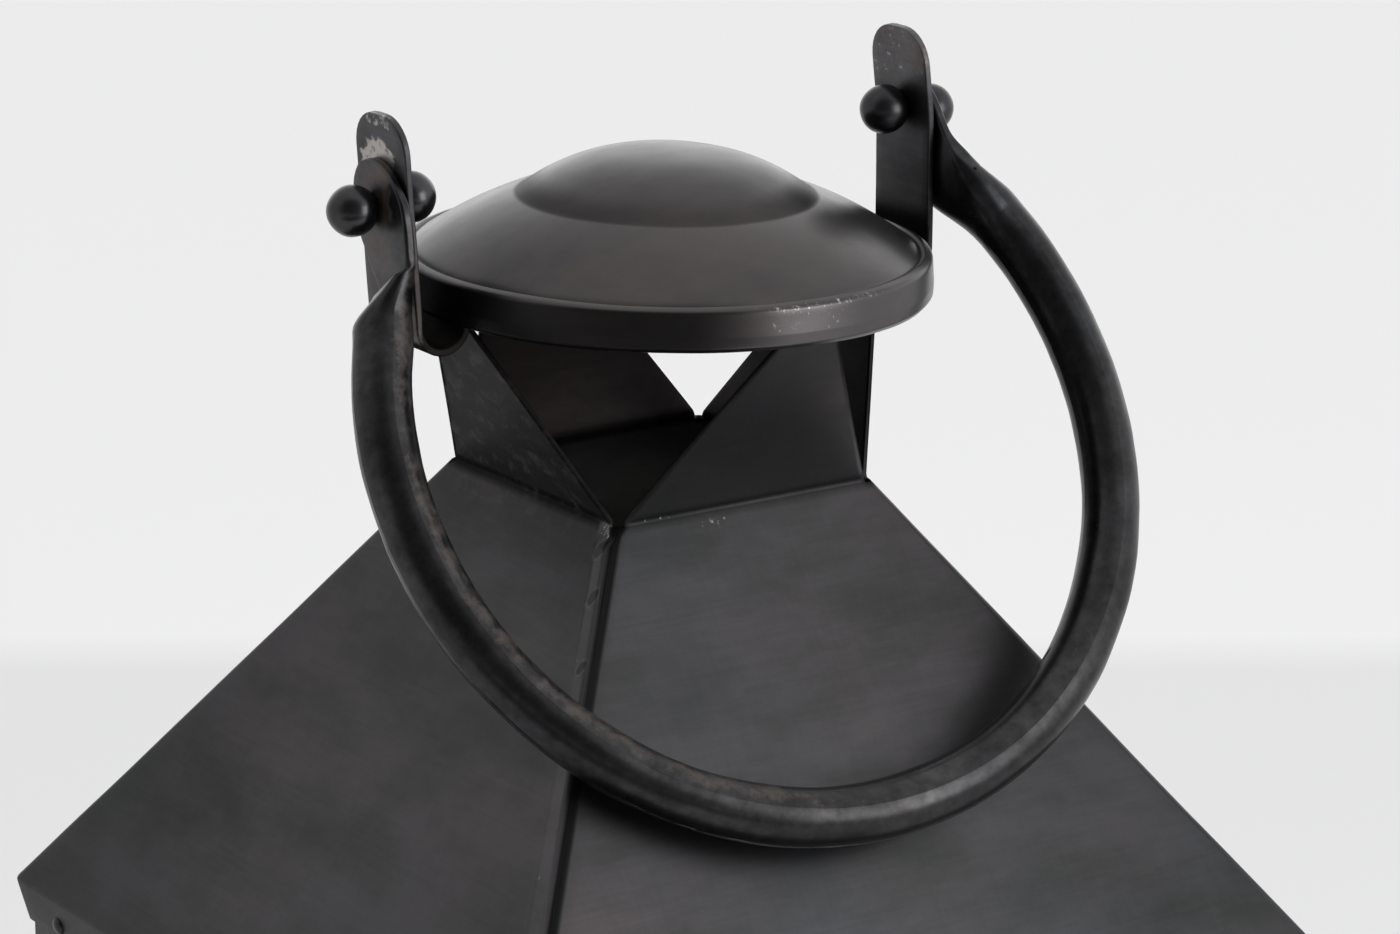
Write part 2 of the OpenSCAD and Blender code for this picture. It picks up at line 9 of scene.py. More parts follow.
import bmesh
import bpy
from mathutils import Matrix, Vector, noise
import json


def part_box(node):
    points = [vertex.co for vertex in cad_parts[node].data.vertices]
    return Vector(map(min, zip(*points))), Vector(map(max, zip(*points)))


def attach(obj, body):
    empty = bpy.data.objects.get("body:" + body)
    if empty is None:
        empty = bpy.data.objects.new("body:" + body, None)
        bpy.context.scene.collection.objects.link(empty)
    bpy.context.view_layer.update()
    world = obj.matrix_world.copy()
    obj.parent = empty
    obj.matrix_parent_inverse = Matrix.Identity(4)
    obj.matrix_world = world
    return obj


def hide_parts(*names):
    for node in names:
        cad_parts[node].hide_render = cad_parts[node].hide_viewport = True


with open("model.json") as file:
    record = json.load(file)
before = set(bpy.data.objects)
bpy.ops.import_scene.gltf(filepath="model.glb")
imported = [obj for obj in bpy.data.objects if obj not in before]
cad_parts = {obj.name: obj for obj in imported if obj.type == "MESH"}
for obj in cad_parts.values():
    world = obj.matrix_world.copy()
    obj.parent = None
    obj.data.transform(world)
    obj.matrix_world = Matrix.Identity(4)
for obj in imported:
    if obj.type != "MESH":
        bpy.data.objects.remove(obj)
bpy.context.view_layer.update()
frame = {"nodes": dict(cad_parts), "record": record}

MM = 0.001


def low(node):
    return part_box(node)[0] / MM


def high(node):
    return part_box(node)[1] / MM


def centre(node):
    return (low(node) + high(node)) / 2


# Roof, flaps and lap seam, which widens from its top to its foot
SHEET = 1.2
SKIRT_H = 12.0
SKIRT_IN = 2.5
LAP_TOP = 5.6
LAP_FOOT = 9.4
ROOF_HALF = high("roof_sheet").x
EAVE_Z = low("roof_sheet").z + SKIRT_H
OPEN_HALF = 41.0
ROOF_RISE = 130.0
ROOF_RUN = ROOF_HALF - OPEN_HALF
OPEN_Z = EAVE_Z + ROOF_RISE
ROOF_SLOPE = atan2(ROOF_RISE, ROOF_RUN)
# How far the hips slant from the line straight up each panel
HIP_SLANT = atan2(ROOF_RUN, hypot(ROOF_RUN, ROOF_RISE))
FLAP_TOP = high("roof_sheet").z
FLAP_TAB_H = 7.0
FLAP_TIP = 9.0
FLAP_LEAN = atan2(0.534, 1.0)
# The sheet's grain is measured along each side and up it, and a third measure sets the sides apart
SIDE_STEP = 400.0
LEFT_SIDE = 3

# Cap
CAP_Z = low("cap").z
CAP_R = high("cap").x
RIM_H = 11.6
CREASE_R = 40.0
CREASE_H = 26.0
CAP_ASIDE = Vector((1.2, -0.8, 0.0))
CAP_TILT = radians(-1.3)

# Ears, pivots and ring
PIN_R = 3.0
BALL_R = 6.75
BALL_SEAT = 5.75
DEEP_SEAT = 3.7
SIDE_GAP = 0.2
EAR_T = 2.0
EAR_HOOK = 6.5
EAR_W = high("ear_right").y - low("ear_right").y
EAR_X = high("ear_right").x - EAR_T / 2
EAR_INNER_X = low("ear_right").x + EAR_T / 2
PIVOT_Z = centre("ball_nut_right").z
EYE_T = 2.9
EYE_R = 12.0
BAR_R = 7.8
RING_R = 105.0
RING_DROP = 80.5
RING_SKEW = radians(3.7)
RING_REST = radians(34.463)

# What the smith's hand left uneven, for the left (-1) and the right (1): how far out each ear stands and
# how high its top reaches, how far its pivot is raised and tipped, how steeply it is bent out and from
# what height over the pivot, and the slack between it and the ring
WORDS = {-1: "left", 1: "right"}
STAND = {-1: -0.5, 1: -1.7}
TOP_Z = {-1: high("ear_left").z, 1: high("ear_right").z + 5.0}
RAISE = {-1: -2.0, 1: 3.1}
TIP = {-1: radians(5.0), 1: radians(5.5)}
BENT = {-1: 0.066, 1: -0.10}
BENT_FROM = {-1: -34.0, 1: 0.0}
SLACK = {-1: 0.5, 1: 0.5}

# Body
BASE_HALF = high("base_pan").x
BASE_Z = high("base_pan").z
BASE_T = 1.5
BASE_FOLD = BASE_Z - low("base_pan").z

# The camera's place: on the front left, a little over the roof
AZIMUTH = radians(-34.17)
ELEVATION = radians(15.74)
DISTANCE = 17.56 * 2 * OPEN_HALF
ASIDE = 10.85
LENS = 137.2
BACK = Vector((sin(AZIMUTH) * cos(ELEVATION), -cos(AZIMUTH) * cos(ELEVATION),
               sin(ELEVATION)))
RIGHT = Vector((0, 0, 1)).cross(BACK).normalized()
UP = BACK.cross(RIGHT)


# -------- geometry helpers


def to_object(name, points, faces, material, sharp=35.0, mend=None):
    """A mesh object from points in millimetres, smooth but for edges sharper than sharp degrees."""
    mesh = bpy.data.meshes.new(name)
    mesh.from_pydata([Vector(p) * MM for p in points], [], faces)
    mesh.validate()
    shade(mesh, sharp, mend)
    mesh.materials.append(material)
    return added(name, mesh)


def added(name, data):
    """A new object in the scene."""
    thing = bpy.data.objects.new(name, data)
    bpy.context.collection.objects.link(thing)
    return thing


def shade(mesh, sharp, mend=None):
    """Mends a mesh as asked, turns its faces outward and smooths all but its sharp edges."""
    shell = bmesh.new()
    shell.from_mesh(mesh)
    if mend:
        mend(shell)
    bmesh.ops.recalc_face_normals(shell, faces=shell.faces)
    shell.to_mesh(mesh)
    shell.free()
    mesh.shade_smooth()
    mesh.set_sharp_from_angle(angle=radians(sharp))


def quarter_turn(side):
    """The 2D turn from the front side to another of the four sides."""
    return Matrix.Rotation(radians(90 * side), 2)


def loft(rows, wrap=True, cap_ends=True):
    """Points and faces of a skin over rows of equally many points."""
    count = len(rows[0])
    points = [p for row in rows for p in row]
    span = count if wrap else count - 1
    last = len(points) - count
    faces = []
    for r in range(0, last, count):
        for c in range(span):
            d = (c + 1) % count
            faces.append((r + c, r + d, r + count + d, r + count + c))
    if cap_ends:
        faces += [tuple(range(count)), tuple(range(last, len(points)))]
    return points, faces


def rounded_line(corners, radii, spacing, steps=6):
    """A 2D line through corners, each inner corner an arc and no stretch longer than spacing."""
    line = [Vector(corners[0])]
    for i in range(1, len(corners) - 1):
        here = Vector(corners[i])
        back = (Vector(corners[i - 1]) - here).normalized()
        ahead = (Vector(corners[i + 1]) - here).normalized()
        turn = pi - back.angle(ahead)
        reach = radii[i - 1] * tan(turn / 2)
        side = 1.0 if back.cross(ahead) > 0 else -1.0
        start = here + back * reach
        middle = start + back.orthogonal() * side * radii[i - 1]
        for k in range(steps + 1):
            spoke = start - middle
            spoke.rotate(Matrix.Rotation(side * -turn * k / steps, 2))
            line.append(middle + spoke)
    line.append(Vector(corners[-1]))
    filled = [line[0]]
    for a, b in zip(line, line[1:]):
        pieces = max(1, ceil((b - a).length / spacing))
        filled.extend(a.lerp(b, k / pieces) for k in range(1, pieces + 1))
    return filled


def rounded_section(a, b, r, turn_steps=4, side_steps=4):
    """A rectangle of half sizes a and b with corner radius r, always in the same number of points."""
    r = min(r, a, b)
    corners = ((1, 1), (-1, 1), (-1, -1), (1, -1))
    section = []
    for quarter, (sx, sy) in enumerate(corners):
        for k in range(turn_steps + 1):
            angle = radians(90 * quarter + 90 * k / turn_steps)
            section.append(Vector((sx * (a - r) + r * cos(angle), sy * (b - r) + r * sin(angle))))
        nx, ny = corners[(quarter + 1) % 4]
        start = section[-1]
        end = Vector((nx * (a - r) + r * cos(angle), ny * (b - r) + r * sin(angle)))
        section.extend(start.lerp(end, k / side_steps) for k in range(1, side_steps))
    return section


def turned(name, profile, material, steps=96, sharp=35.0, place=(0, 0, 0), axis="Z"):
    """A form turned from (radius, height) pairs."""
    turn = {"Z": Matrix.Identity(3), "-Y": Matrix.Rotation(radians(90), 3, "X"),
            "X": Matrix.Rotation(radians(90), 3, "Y")}[axis]
    rows = []
    for k in range(steps + 1):
        a = tau * (k % steps) / steps
        rows.append([turn @ Vector((r * cos(a), r * sin(a), z)) + Vector(place)
                     for r, z in profile])
    points, faces = loft(rows, wrap=False, cap_ends=False)

    def close(shell):
        bmesh.ops.remove_doubles(shell, verts=shell.verts, dist=0.004 * MM)
        bmesh.ops.dissolve_degenerate(shell, edges=shell.edges, dist=0.001 * MM)

    return to_object(name, points, faces, material, sharp, close)


def rough_up(thing, *passes):
    """Moves each point along its normal by smooth noise, in passes of (height, scale, seed)."""
    for height, scale, seed in passes:
        shift = Vector((seed * 17.3, seed * 5.1, seed * 9.7))
        normals = [vertex.normal.copy() for vertex in thing.data.vertices]
        for vertex, normal in zip(thing.data.vertices, normals):
            vertex.co += normal * noise.noise(vertex.co / (scale * MM) + shift) * height * MM


def paint(thing, **coats):
    """Stores each coat's value at every point of a mesh, in millimetres, for its material to read."""
    for name, value_at in coats.items():
        layer = thing.data.attributes.new(name, "FLOAT", "POINT")
        layer.data.foreach_set("value", [value_at(vertex.co / MM) for vertex in thing.data.vertices])


def part_way(start, end, value):
    """How far value is on the way from start to end: 0 before start and 1 past end."""
    return min(1.0, max(0.0, (value - start) / (end - start)))


def ramp(start, end, value):
    """As part_way(), with a smooth rise between."""
    k = part_way(start, end, value)
    return k * k * (3 - 2 * k)


def near(value, middle, full, none):
    """1 where value is within full of middle, and down to 0 where it is none or more away."""
    return ramp(none, full, abs(value - middle))


def thicken(thing, thickness, inner_material=None):
    """Thickens a sheet on its inner side, which may have a material of its own."""
    solid = thing.modifiers.new("thickness", "SOLIDIFY")
    solid.thickness = thickness * MM
    solid.offset = -1
    solid.use_even_offset = True
    if inner_material:
        thing.data.materials.append(inner_material)
        solid.material_offset = 1


def soften(thing, width, segments=2, angle=40.0, edge_material=None):
    """Rounds the sharp edges of a piece, which may have a material of their own."""
    bevel = thing.modifiers.new("soft_edges", "BEVEL")
    bevel.width = width * MM
    bevel.segments = segments
    bevel.limit_method = "ANGLE"
    bevel.angle_limit = radians(angle)
    if edge_material:
        thing.data.materials.append(edge_material)
        bevel.material = len(thing.data.materials) - 1


# -------- materials


class Shader:
    """A new material's node tree, with add() to make a node and wire its inputs in one call."""

    def __init__(self, name):
        self.material = bpy.data.materials.new(name)
        self.material.use_nodes = True
        self.tree = self.material.node_tree
        self.tree.nodes.clear()

    def add(self, kind, inputs=None, out=0, **settings):
        node = self.tree.nodes.new(kind)
        for key, value in settings.items():
            setattr(node, key, value)
        self.wire(node, inputs or {})
        return node.outputs[out] if node.outputs else None

    def wire(self, node, inputs):
        for key, value in inputs.items():
            if isinstance(value, bpy.types.NodeSocket):
                self.tree.links.new(value, node.inputs[key])
            else:
                node.inputs[key].default_value = value

    def attribute(self, name, out="Fac"):
        return self.add("ShaderNodeAttribute", out=out, attribute_name=name)

    def place(self):
        return self.add("ShaderNodeTexCoord", out="Object")

    def vector(self, operation, inputs, out=0):
        return self.add("ShaderNodeVectorMath", inputs, out, operation=operation)

    def along(self, vector, heading):
        return self.vector("DOT_PRODUCT", {0: vector, 1: tuple(heading)}, "Value")

    def noise(self, vector, scale, detail=4.0, roughness=0.55):
        return self.add("ShaderNodeTexNoise", {"Vector": vector, "Scale": scale, "Detail": detail,
                                               "Roughness": roughness}, out="Fac")

    def stretch(self, vector, scale):
        return self.vector("MULTIPLY", {0: vector, 1: scale})

    def math(self, operation, a, b=0.0, clamp=False):
        return self.add("ShaderNodeMath", {0: a, 1: b}, operation=operation, use_clamp=clamp)

    def plus(self, a, b, clamp=False):
        return self.math("ADD", a, b, clamp)

    def times(self, a, b, clamp=False):
        return self.math("MULTIPLY", a, b, clamp)

    def range(self, value, start, end, to_start=0.0, to_end=1.0):
        return self.add("ShaderNodeMapRange", {"Value": value, "From Min": start, "From Max": end,
                                               "To Min": to_start, "To Max": to_end})

    def spread(self, amount, pattern, hardness):
        """Covers pattern, a noise about 0.5: nowhere at amount 0 and everywhere at amount 1."""
        bias = self.add("ShaderNodeMath", {0: amount, 1: 0.56, 2: -0.78}, operation="MULTIPLY_ADD")
        return self.times(self.plus(pattern, bias), hardness, clamp=True)

    def mix(self, factor, a, b):
        a, b = (v if isinstance(v, bpy.types.NodeSocket) else (*v, 1.0) for v in (a, b))
        return self.add("ShaderNodeMix", {0: factor, 6: a, 7: b}, 2, data_type="RGBA")

    def scale(self, colour, factor):
        return self.vector("SCALE", {0: colour, "Scale": factor})

    def bump(self, height, strength, distance):
        return self.add("ShaderNodeBump", {"Height": height, "Strength": strength, "Distance": distance})

    def finish(self, **inputs):
        inputs = {key.replace("_", " "): value for key, value in inputs.items()}
        surface = self.add("ShaderNodeBsdfPrincipled", inputs)
        self.add("ShaderNodeOutputMaterial", {"Surface": surface})
        return self.material


class WorldShader(Shader):
    """The node tree of the scene's world."""

    def __init__(self, name):
        world = bpy.data.worlds.new(name)
        world.use_nodes = True
        bpy.context.scene.world = world
        self.tree = world.node_tree


def iron(name, cool, warm, dark, roughness, mottle=28.0, lines=(60.0, 60.0, 600.0), streaks=0.15,
         relief=0.02, bloom=0.0, edge=0.0, bare=(0.40, 0.385, 0.36), rust=(0.085, 0.046, 0.027),
         on_sheet=False, marks=()):
    """Blackened, waxed iron: mottled and brushed, with rust, sooty darkening, painted shade and light,
    and rubbed metal where painted.

    lines is how fine the brush lines are along each axis. On the roof the axes run along the eave and
    up the slope. marks are the ovals that spot welds leave, as (across, up, half width, half length)."""
    s = Shader(name)
    place = s.attribute("grain", out="Vector") if on_sheet else s.place()
    clouds = s.noise(s.stretch(place, (0.5, 1.0, 1.0)), mottle, 7.0, 0.66)
    patches = s.noise(place, mottle * 0.32, 3.0, 0.5)
    brushed = s.noise(s.stretch(place, lines), 1.0, 4.0, 0.7)
    crossed = s.noise(s.stretch(place, (lines[1], lines[0], lines[2])), 0.9, 2.0, 0.6)
    fine = s.noise(place, 1100.0, 3.0, 0.6)
    colour = s.mix(s.range(patches, 0.38, 0.62), cool, warm)
    colour = s.mix(s.range(clouds, 0.42, 0.66, 0.0, 0.9), colour, dark)
    strokes = s.plus(s.times(brushed, 0.68), s.times(crossed, 0.32))
    colour = s.scale(colour, s.range(strokes, 0.35, 0.65, 1.0 - streaks, 1.0 + streaks))
    rusty = s.spread(s.attribute("rust"), s.noise(place, 150.0, 6.0, 0.72), 5.0)
    if bloom:
        blots = s.range(s.noise(place, 48.0, 6.0, 0.74), 0.55, 0.72, 0.0, bloom)
        rusty = s.math("MAXIMUM", rusty, blots)
    scratches = s.noise(s.stretch(place, (1.6, 1.0, 1.0)), 430.0, 5.0, 0.72)
    rubbed = s.spread(s.plus(s.attribute("wear"), edge), scratches, 7.0)
    # Painted shading: above 0 it darkens the colour and dulls the reflection as painted shade, below 0 it
    # lightens the colour as painted light
    soot = s.attribute("soot")
    colour = s.scale(colour, s.range(soot, -1.0, 1.0, 1.8, 0.2))
    for mark in marks:
        away = from_mark(s, place, clouds, *mark)
        colour = s.scale(colour, s.range(away, 0.75, 1.0, 0.55, 1.0))
        ring = s.times(s.range(away, 0.9, 1.05), s.range(away, 1.35, 1.1), clamp=True)
        ring = s.times(ring, s.range(scratches, 0.4, 0.7, 0.0, 0.12))
        rubbed = s.math("MAXIMUM", rubbed, ring)
    colour = s.mix(rusty, colour, rust)
    colour = s.mix(rubbed, colour, bare)
    rough = s.range(clouds, 0.3, 0.75, roughness - 0.06, roughness + 0.09)
    rough = s.plus(rough, s.times(rusty, 0.2))
    rough = s.math("SUBTRACT", rough, s.times(rubbed, 0.08), clamp=True)
    rough = s.plus(rough, s.range(soot, 0.0, 1.0, 0.0, 0.2), clamp=True)
    height = s.plus(s.times(fine, 0.5), s.plus(brushed, s.times(rusty, 0.5)))
    metal = s.range(rusty, 0.0, 1.0, 0.95, 0.4)
    sheen = s.range(soot, 0.0, 0.8, 1.0, 0.05)
    return s.finish(Base_Color=colour, Metallic=metal, Roughness=rough, Specular_Tint=sheen,
                    Normal=s.bump(height, 0.4, relief * MM), IOR=1.8)


def from_mark(s, place, clouds, across, up, half_w, half_l):
    """How far a point of the sheet is from the middle of a mark on the left side, 1 at its outline."""
    middle = (across * MM, up * MM, LEFT_SIDE * SIDE_STEP * MM)
    away = s.vector("SUBTRACT", {0: place, 1: middle})
    away = s.stretch(away, (1.0 / (half_w * MM), 1.0 / (half_l * MM), 1.0 / (SIDE_STEP * MM)))
    away = s.vector("LENGTH", {0: away}, "Value")
    return s.plus(away, s.times(s.math("SUBTRACT", clouds, 0.5), 1.2))


def seam_mark(below, half_w, half_l):
    """An oval on the lap seam, the given height below the roof's opening, in the sheet's own measure."""
    across = OPEN_HALF + below / tan(ROOF_SLOPE) - LAP_TOP * 0.68
    up = hypot(SKIRT_IN, SKIRT_H) + (OPEN_Z - below - EAVE_Z) / sin(ROOF_SLOPE)
    return across, up, half_w, half_l


SHEET_IRON = iron("sheet_iron", (0.051, 0.052, 0.057), (0.062, 0.055, 0.058), (0.031, 0.033, 0.031), 0.37,
                  mottle=21.0, lines=(24.0, 900.0, 1.0), streaks=0.065, rust=(0.036, 0.029, 0.024),
                  on_sheet=True,
                  marks=(seam_mark(5.5, 1.7, 3.0), seam_mark(15.5, 1.6, 2.6), seam_mark(30.0, 1.4, 2.2)))
SOOTY_IRON = iron("sooty_iron", (0.023, 0.020, 0.020), (0.029, 0.022, 0.020), (0.012, 0.010, 0.010), 0.62,
                  mottle=30.0, streaks=0.1)
CAP_IRON = iron("cap_iron", (0.058, 0.057, 0.060), (0.062, 0.056, 0.055), (0.044, 0.042, 0.044), 0.30,
                lines=(90.0, 90.0, 300.0), streaks=0.05)
BAR_IRON = iron("bar_iron", (0.036, 0.037, 0.041), (0.042, 0.040, 0.040), (0.019, 0.019, 0.020), 0.30,
                mottle=48.0, lines=(260.0, 260.0, 260.0), streaks=0.3, relief=0.07, bloom=0.06,
                bare=(0.20, 0.17, 0.145), rust=(0.045, 0.031, 0.023))
STRAP_IRON = iron("strap_iron", (0.056, 0.055, 0.061), (0.064, 0.057, 0.054), (0.036, 0.036, 0.039), 0.42,
                  mottle=45.0, lines=(40.0, 40.0, 600.0), bare=(0.36, 0.34, 0.315),
                  rust=(0.115, 0.093, 0.076))
BALL_IRON = iron("ball_iron", (0.048, 0.048, 0.055), (0.054, 0.050, 0.050), (0.030, 0.030, 0.034), 0.29,
                 mottle=60.0, lines=(200.0, 200.0, 200.0), streaks=0.1)
FRAME_IRON = iron("frame_iron", (0.050, 0.051, 0.056), (0.056, 0.050, 0.048), (0.030, 0.030, 0.033), 0.37,
                  mottle=32.0, lines=(45.0, 45.0, 420.0), streaks=0.18, relief=0.03, bloom=0.12)
EDGE_IRON = iron("edge_iron", (0.034, 0.034, 0.037), (0.038, 0.034, 0.032), (0.022, 0.022, 0.024), 0.40,
                 mottle=32.0, edge=0.34, bare=(0.16, 0.155, 0.145))


def wax_material():
    s = Shader("candle_wax")
    place = s.place()
    clouds = s.noise(place, 26.0, 4.0, 0.55)
    colour = s.mix(clouds, (0.88, 0.82, 0.68), (0.80, 0.72, 0.55))
    colour = s.mix(s.attribute("melted"), colour, (0.74, 0.60, 0.36))
    relief = s.bump(s.noise(place, 240.0, 3.0, 0.5), 0.3, 0.12 * MM)
    rough = s.range(s.attribute("melted"), 0.0, 1.0, 0.42, 0.14)
    return s.finish(Base_Color=colour, Roughness=rough, Subsurface_Weight=0.4, Subsurface_Scale=0.012,
                    Subsurface_Radius=(1.0, 0.55, 0.3), Normal=relief, IOR=1.44)


def wick_material():
    s = Shader("wick_cotton")
    colour = s.mix(s.attribute("char"), (0.60, 0.55, 0.45), (0.014, 0.012, 0.011))
    return s.finish(Base_Color=colour, Roughness=0.9, IOR=1.4)


CLEAR_GLASS = Shader("clear_glass").finish(Base_Color=(0.93, 0.97, 0.955, 1.0), Roughness=0.015,
                                           IOR=1.5, Transmission_Weight=1.0)
CANDLE_WAX = wax_material()
WICK_COTTON = wick_material()


# -------- roof

HIP_R = 2.6
BEND_R = 1.3
# The lap seam ends a little over the eave and under the opening
LAP_FROM_Z = EAVE_Z + 5.0
LAP_TO_Z = OPEN_Z - 3.0
# How far out the tops of the front and back flaps stand, and those of the side flaps, under the ears
FLAP_OUT = (69.12, EAR_INNER_X - EAR_T / 2 - SHEET + 0.2)
# How the mesh is divided along a side, over its lap and round a corner
COLUMNS = 44
LAP_STEPS = 10
CORNER_STEPS = 6


def lap_width(z):
    """How wide the lap seam is at height z, measured along the eave."""
    return (LAP_FOOT + (LAP_TOP - LAP_FOOT) * (z - EAVE_Z) / ROOF_RISE) / cos(HIP_SLANT)


def square_ring(half, radius, columns, lap=0.0, proud=0.0):
    """Points round a square: each side, then its round corner, front side first.

    With a lap, the last corner is the front left hip, where the front sheet is folded round onto the left
    face. Each point is (x, y, across, side, turn): turn is 0 on a side and rises to 1 over a corner."""
    reach = half - radius
    ring = []
    for side in range(4):
        lapped = lap and side == LEFT_SIDE
        seam = half - lap if lapped else reach
        stands = proud if lapped else 0.0
        line = [(-reach + (seam + reach) * c / columns, half, 0.0) for c in range(columns + 1)]
        if lapped:
            over = seam + 0.05
            line += [(over + (reach - over) * c / LAP_STEPS, half + stands, 0.0)
                     for c in range(LAP_STEPS + 1)]
        for k in range(1, CORNER_STEPS):
            a = radians(90 * k / CORNER_STEPS)
            line.append((reach + radius * sin(a), reach + (radius + stands) * cos(a), k / CORNER_STEPS))
        for across, out, turn in line:
            xy = quarter_turn(side) @ Vector((across, -out))
            ring.append((xy.x, xy.y, across, side, turn))
    return ring


def roof_panels(profile):
    """The four panels with their skirt, as rows of points from the skirt up, and the grain at each."""
    along = 0.0
    before = profile[0]
    rows, grain = [], []
    for p in profile:
        along += (p - before).length
        before = p
        proud = SHEET / sin(ROOF_SLOPE) if LAP_FROM_Z < p.y < LAP_TO_Z else 0.0
        ring = square_ring(p.x, HIP_R, COLUMNS, lap_width(p.y), proud)
        rows.append([Vector((x, y, p.y)) for x, y, *_ in ring])
        grain.extend(Vector((across, along, (side + turn) * SIDE_STEP))
                     for *_, across, side, turn in ring)
    return rows, grain, along


def roof_sheet():
    """Four panels in one sheet with a folded skirt, a lap seam and four flaps bent up at the chimney."""
    top_turn = pi / 2 - ROOF_SLOPE + FLAP_LEAN
    up_slope = Vector((-cos(ROOF_SLOPE), sin(ROOF_SLOPE)))
    panel_top = Vector((OPEN_HALF, OPEN_Z)) - up_slope * BEND_R * tan(top_turn / 2)
    profile = rounded_line([(ROOF_HALF - SKIRT_IN, EAVE_Z - SKIRT_H), (ROOF_HALF, EAVE_Z), panel_top],
                           [2.2], 2.4)
    rows, grain, along = roof_panels(profile)
    points, faces = loft(rows, cap_ends=False)
    top_row = range(len(points) - len(rows[0]), len(points))
    for side in range(4):
        out = FLAP_OUT[side % 2]
        line = rounded_line([panel_top - up_slope, (OPEN_HALF, OPEN_Z), (out, FLAP_TOP - FLAP_TAB_H),
                             (out, FLAP_TOP)], [BEND_R, 3.0], 2.0)
        # The line starts on the panel, which is there already
        line = [p for p in line if p.y > panel_top.y + 0.2 or p.x < panel_top.x - 0.1]
        below = [i for i in top_row if grain[i].z == side * SIDE_STEP]
        foot_across = [grain[i].x for i in below]
        at, before = along, panel_top
        quarter = quarter_turn(side)
        for p in line:
            at += (p - before).length
            before = p
            reach = flap_reach(p.y)
            row = []
            for from_middle in foot_across:
                across = from_middle * reach / foot_across[-1]
                xy = quarter @ Vector((across, -p.x))
                row.append(len(points))
                points.append(Vector((xy.x, xy.y, p.y)))
                grain.append(Vector((across, at, side * SIDE_STEP)))
            faces.extend((below[c], below[c + 1], row[c + 1], row[c]) for c in range(len(row) - 1))
            below = row
    sheet = to_object("roof_skin", points, faces, SHEET_IRON, sharp=30.0)
    layer = sheet.data.attributes.new("grain", "FLOAT_VECTOR", "POINT")
    layer.data.foreach_set("vector", [value * MM for g in grain for value in g])
    rough_up(sheet, (0.28, 62.0, 0.0), (0.10, 23.0, 1.0))
    paint(sheet, wear=roof_wear, soot=roof_soot, rust=roof_rust)
    thicken(sheet, SHEET, SOOTY_IRON)
    soften(sheet, 0.22, 1, 60.0, EDGE_IRON)
    return sheet


def flap_reach(z):
    """Half the width of a flap at height z."""
    k = part_way(OPEN_Z, CAP_Z, z)
    return (OPEN_HALF - HIP_R) * (1 - k) + FLAP_TIP * k


def from_left_hip(p):
    """How far along the eave a point is from the front left hip."""
    return abs(p.x - p.y) if p.x < 0 and p.y < 0 else 99.0


def roof_wear(p):
    """Bright metal on the lap seam's top end and edge, at the feet of two flaps and along the eave."""
    from_hip = from_left_hip(p)
    up = p.z - OPEN_Z
    lap = lap_width(p.z)
    on_seam = ramp(lap + 0.8, lap - 0.2, from_hip) * ramp(HIP_R * 0.6, HIP_R, from_hip)
    on_seam *= p.x < p.y
    seam_top = on_seam * ramp(-4.5, -2.5, up) * ramp(0.5, -1.0, up)
    seam_edge = on_seam * ramp(lap - 1.4, lap - 0.4, from_hip) * (EAVE_Z + 4 < p.z < OPEN_Z)
    front = p.y < 0 and abs(p.x) < abs(p.y)
    below_flap = near(up, -3.4, 0.6, 1.6) * near(p.x, -11.0, 3.0, 7.0) * front
    flap_foot = near(up, 0.3, 0.3, 1.2) * near(p.x, -29.0, 4.0, 8.0) * front
    left_foot = near(up, -2.0, 0.6, 1.6) * near(p.y, 8.0, 3.0, 7.0) * (p.x < -OPEN_HALF)
    eave = near(p.z, EAVE_Z, 0.3, 2.0)
    corner = ramp(26.0, 6.0, hypot(p.x + ROOF_HALF, p.y + ROOF_HALF))
    corner *= ramp(EAVE_Z + 3.0, EAVE_Z - 2.0, p.z)
    return max(0.52 * seam_top, 0.30 * seam_edge, 0.52 * below_flap, 0.36 * flap_foot, 0.38 * left_foot,
               0.26 * eave, 0.32 * corner)


def roof_soot(p):
    """Painted shading: painted shade beside the front left hip, in the folds, along the flaps' edges, on
    the left flap and on the panel below it, and darker toward the panels' far ends.

    The lap seam is painted paler, and the other flaps are painted light, palest at their foot."""
    from_hip = from_left_hip(p)
    lap = lap_width(p.z)
    seam = ramp(lap + 0.3, lap - 0.3, from_hip) * ramp(HIP_R * 0.7, HIP_R * 1.2, from_hip)
    up = p.z - OPEN_Z
    # The lap seam is painted paler
    if seam > 0 and p.x < p.y and up < 0:
        return -0.25 * seam
    # Painted shade: a dark line along the front left hip, in the folds at the flaps' feet and along the
    # flaps' edges
    hip = 0.8 * ramp(2.8, 1.6, from_hip) * ramp(2.0, -2.0, up)
    on_flap = ramp(-1.0, 1.5, up)
    left = p.x < -abs(p.y)
    # Painted shade on the panel under the left flap, and darker toward the panels' far ends
    beside_flap = 0.26 * ramp(-34.0, -4.0, up) * left
    front = -p.y > abs(p.x)
    far_end = 0.26 * ramp(5.0, 90.0, p.x) * front + 0.18 * ramp(5.0, 90.0, p.y) * left
    fold = 0.62 * near(up, 0.0, 0.5, 2.2) * (max(abs(p.x), abs(p.y)) > OPEN_HALF - 2)
    to_edge = flap_reach(p.z) - min(abs(p.x), abs(p.y))
    edge = 0.7 * ramp(1.4, 0.4, to_edge) * on_flap
    # Painted shade on the left flap, and painted light on the other flaps, palest at their foot
    flap = 0.42 if left else -1.0 + 0.8 * ramp(0.0, 26.0, up)
    dark = max(hip, fold, edge)
    return dark + (1 - dark) * (on_flap * flap + (1 - on_flap) * max(beside_flap, far_end))


def roof_rust(p):
    """Brown patches on the left flap and on the panel at its foot."""
    left = ramp(0.0, 3.0, -p.x - abs(p.y))
    up = p.z - OPEN_Z
    return left * max(0.47 * ramp(-1.0, 3.0, up), 0.46 * ramp(-12.0, -5.0, up))


# -------- cap


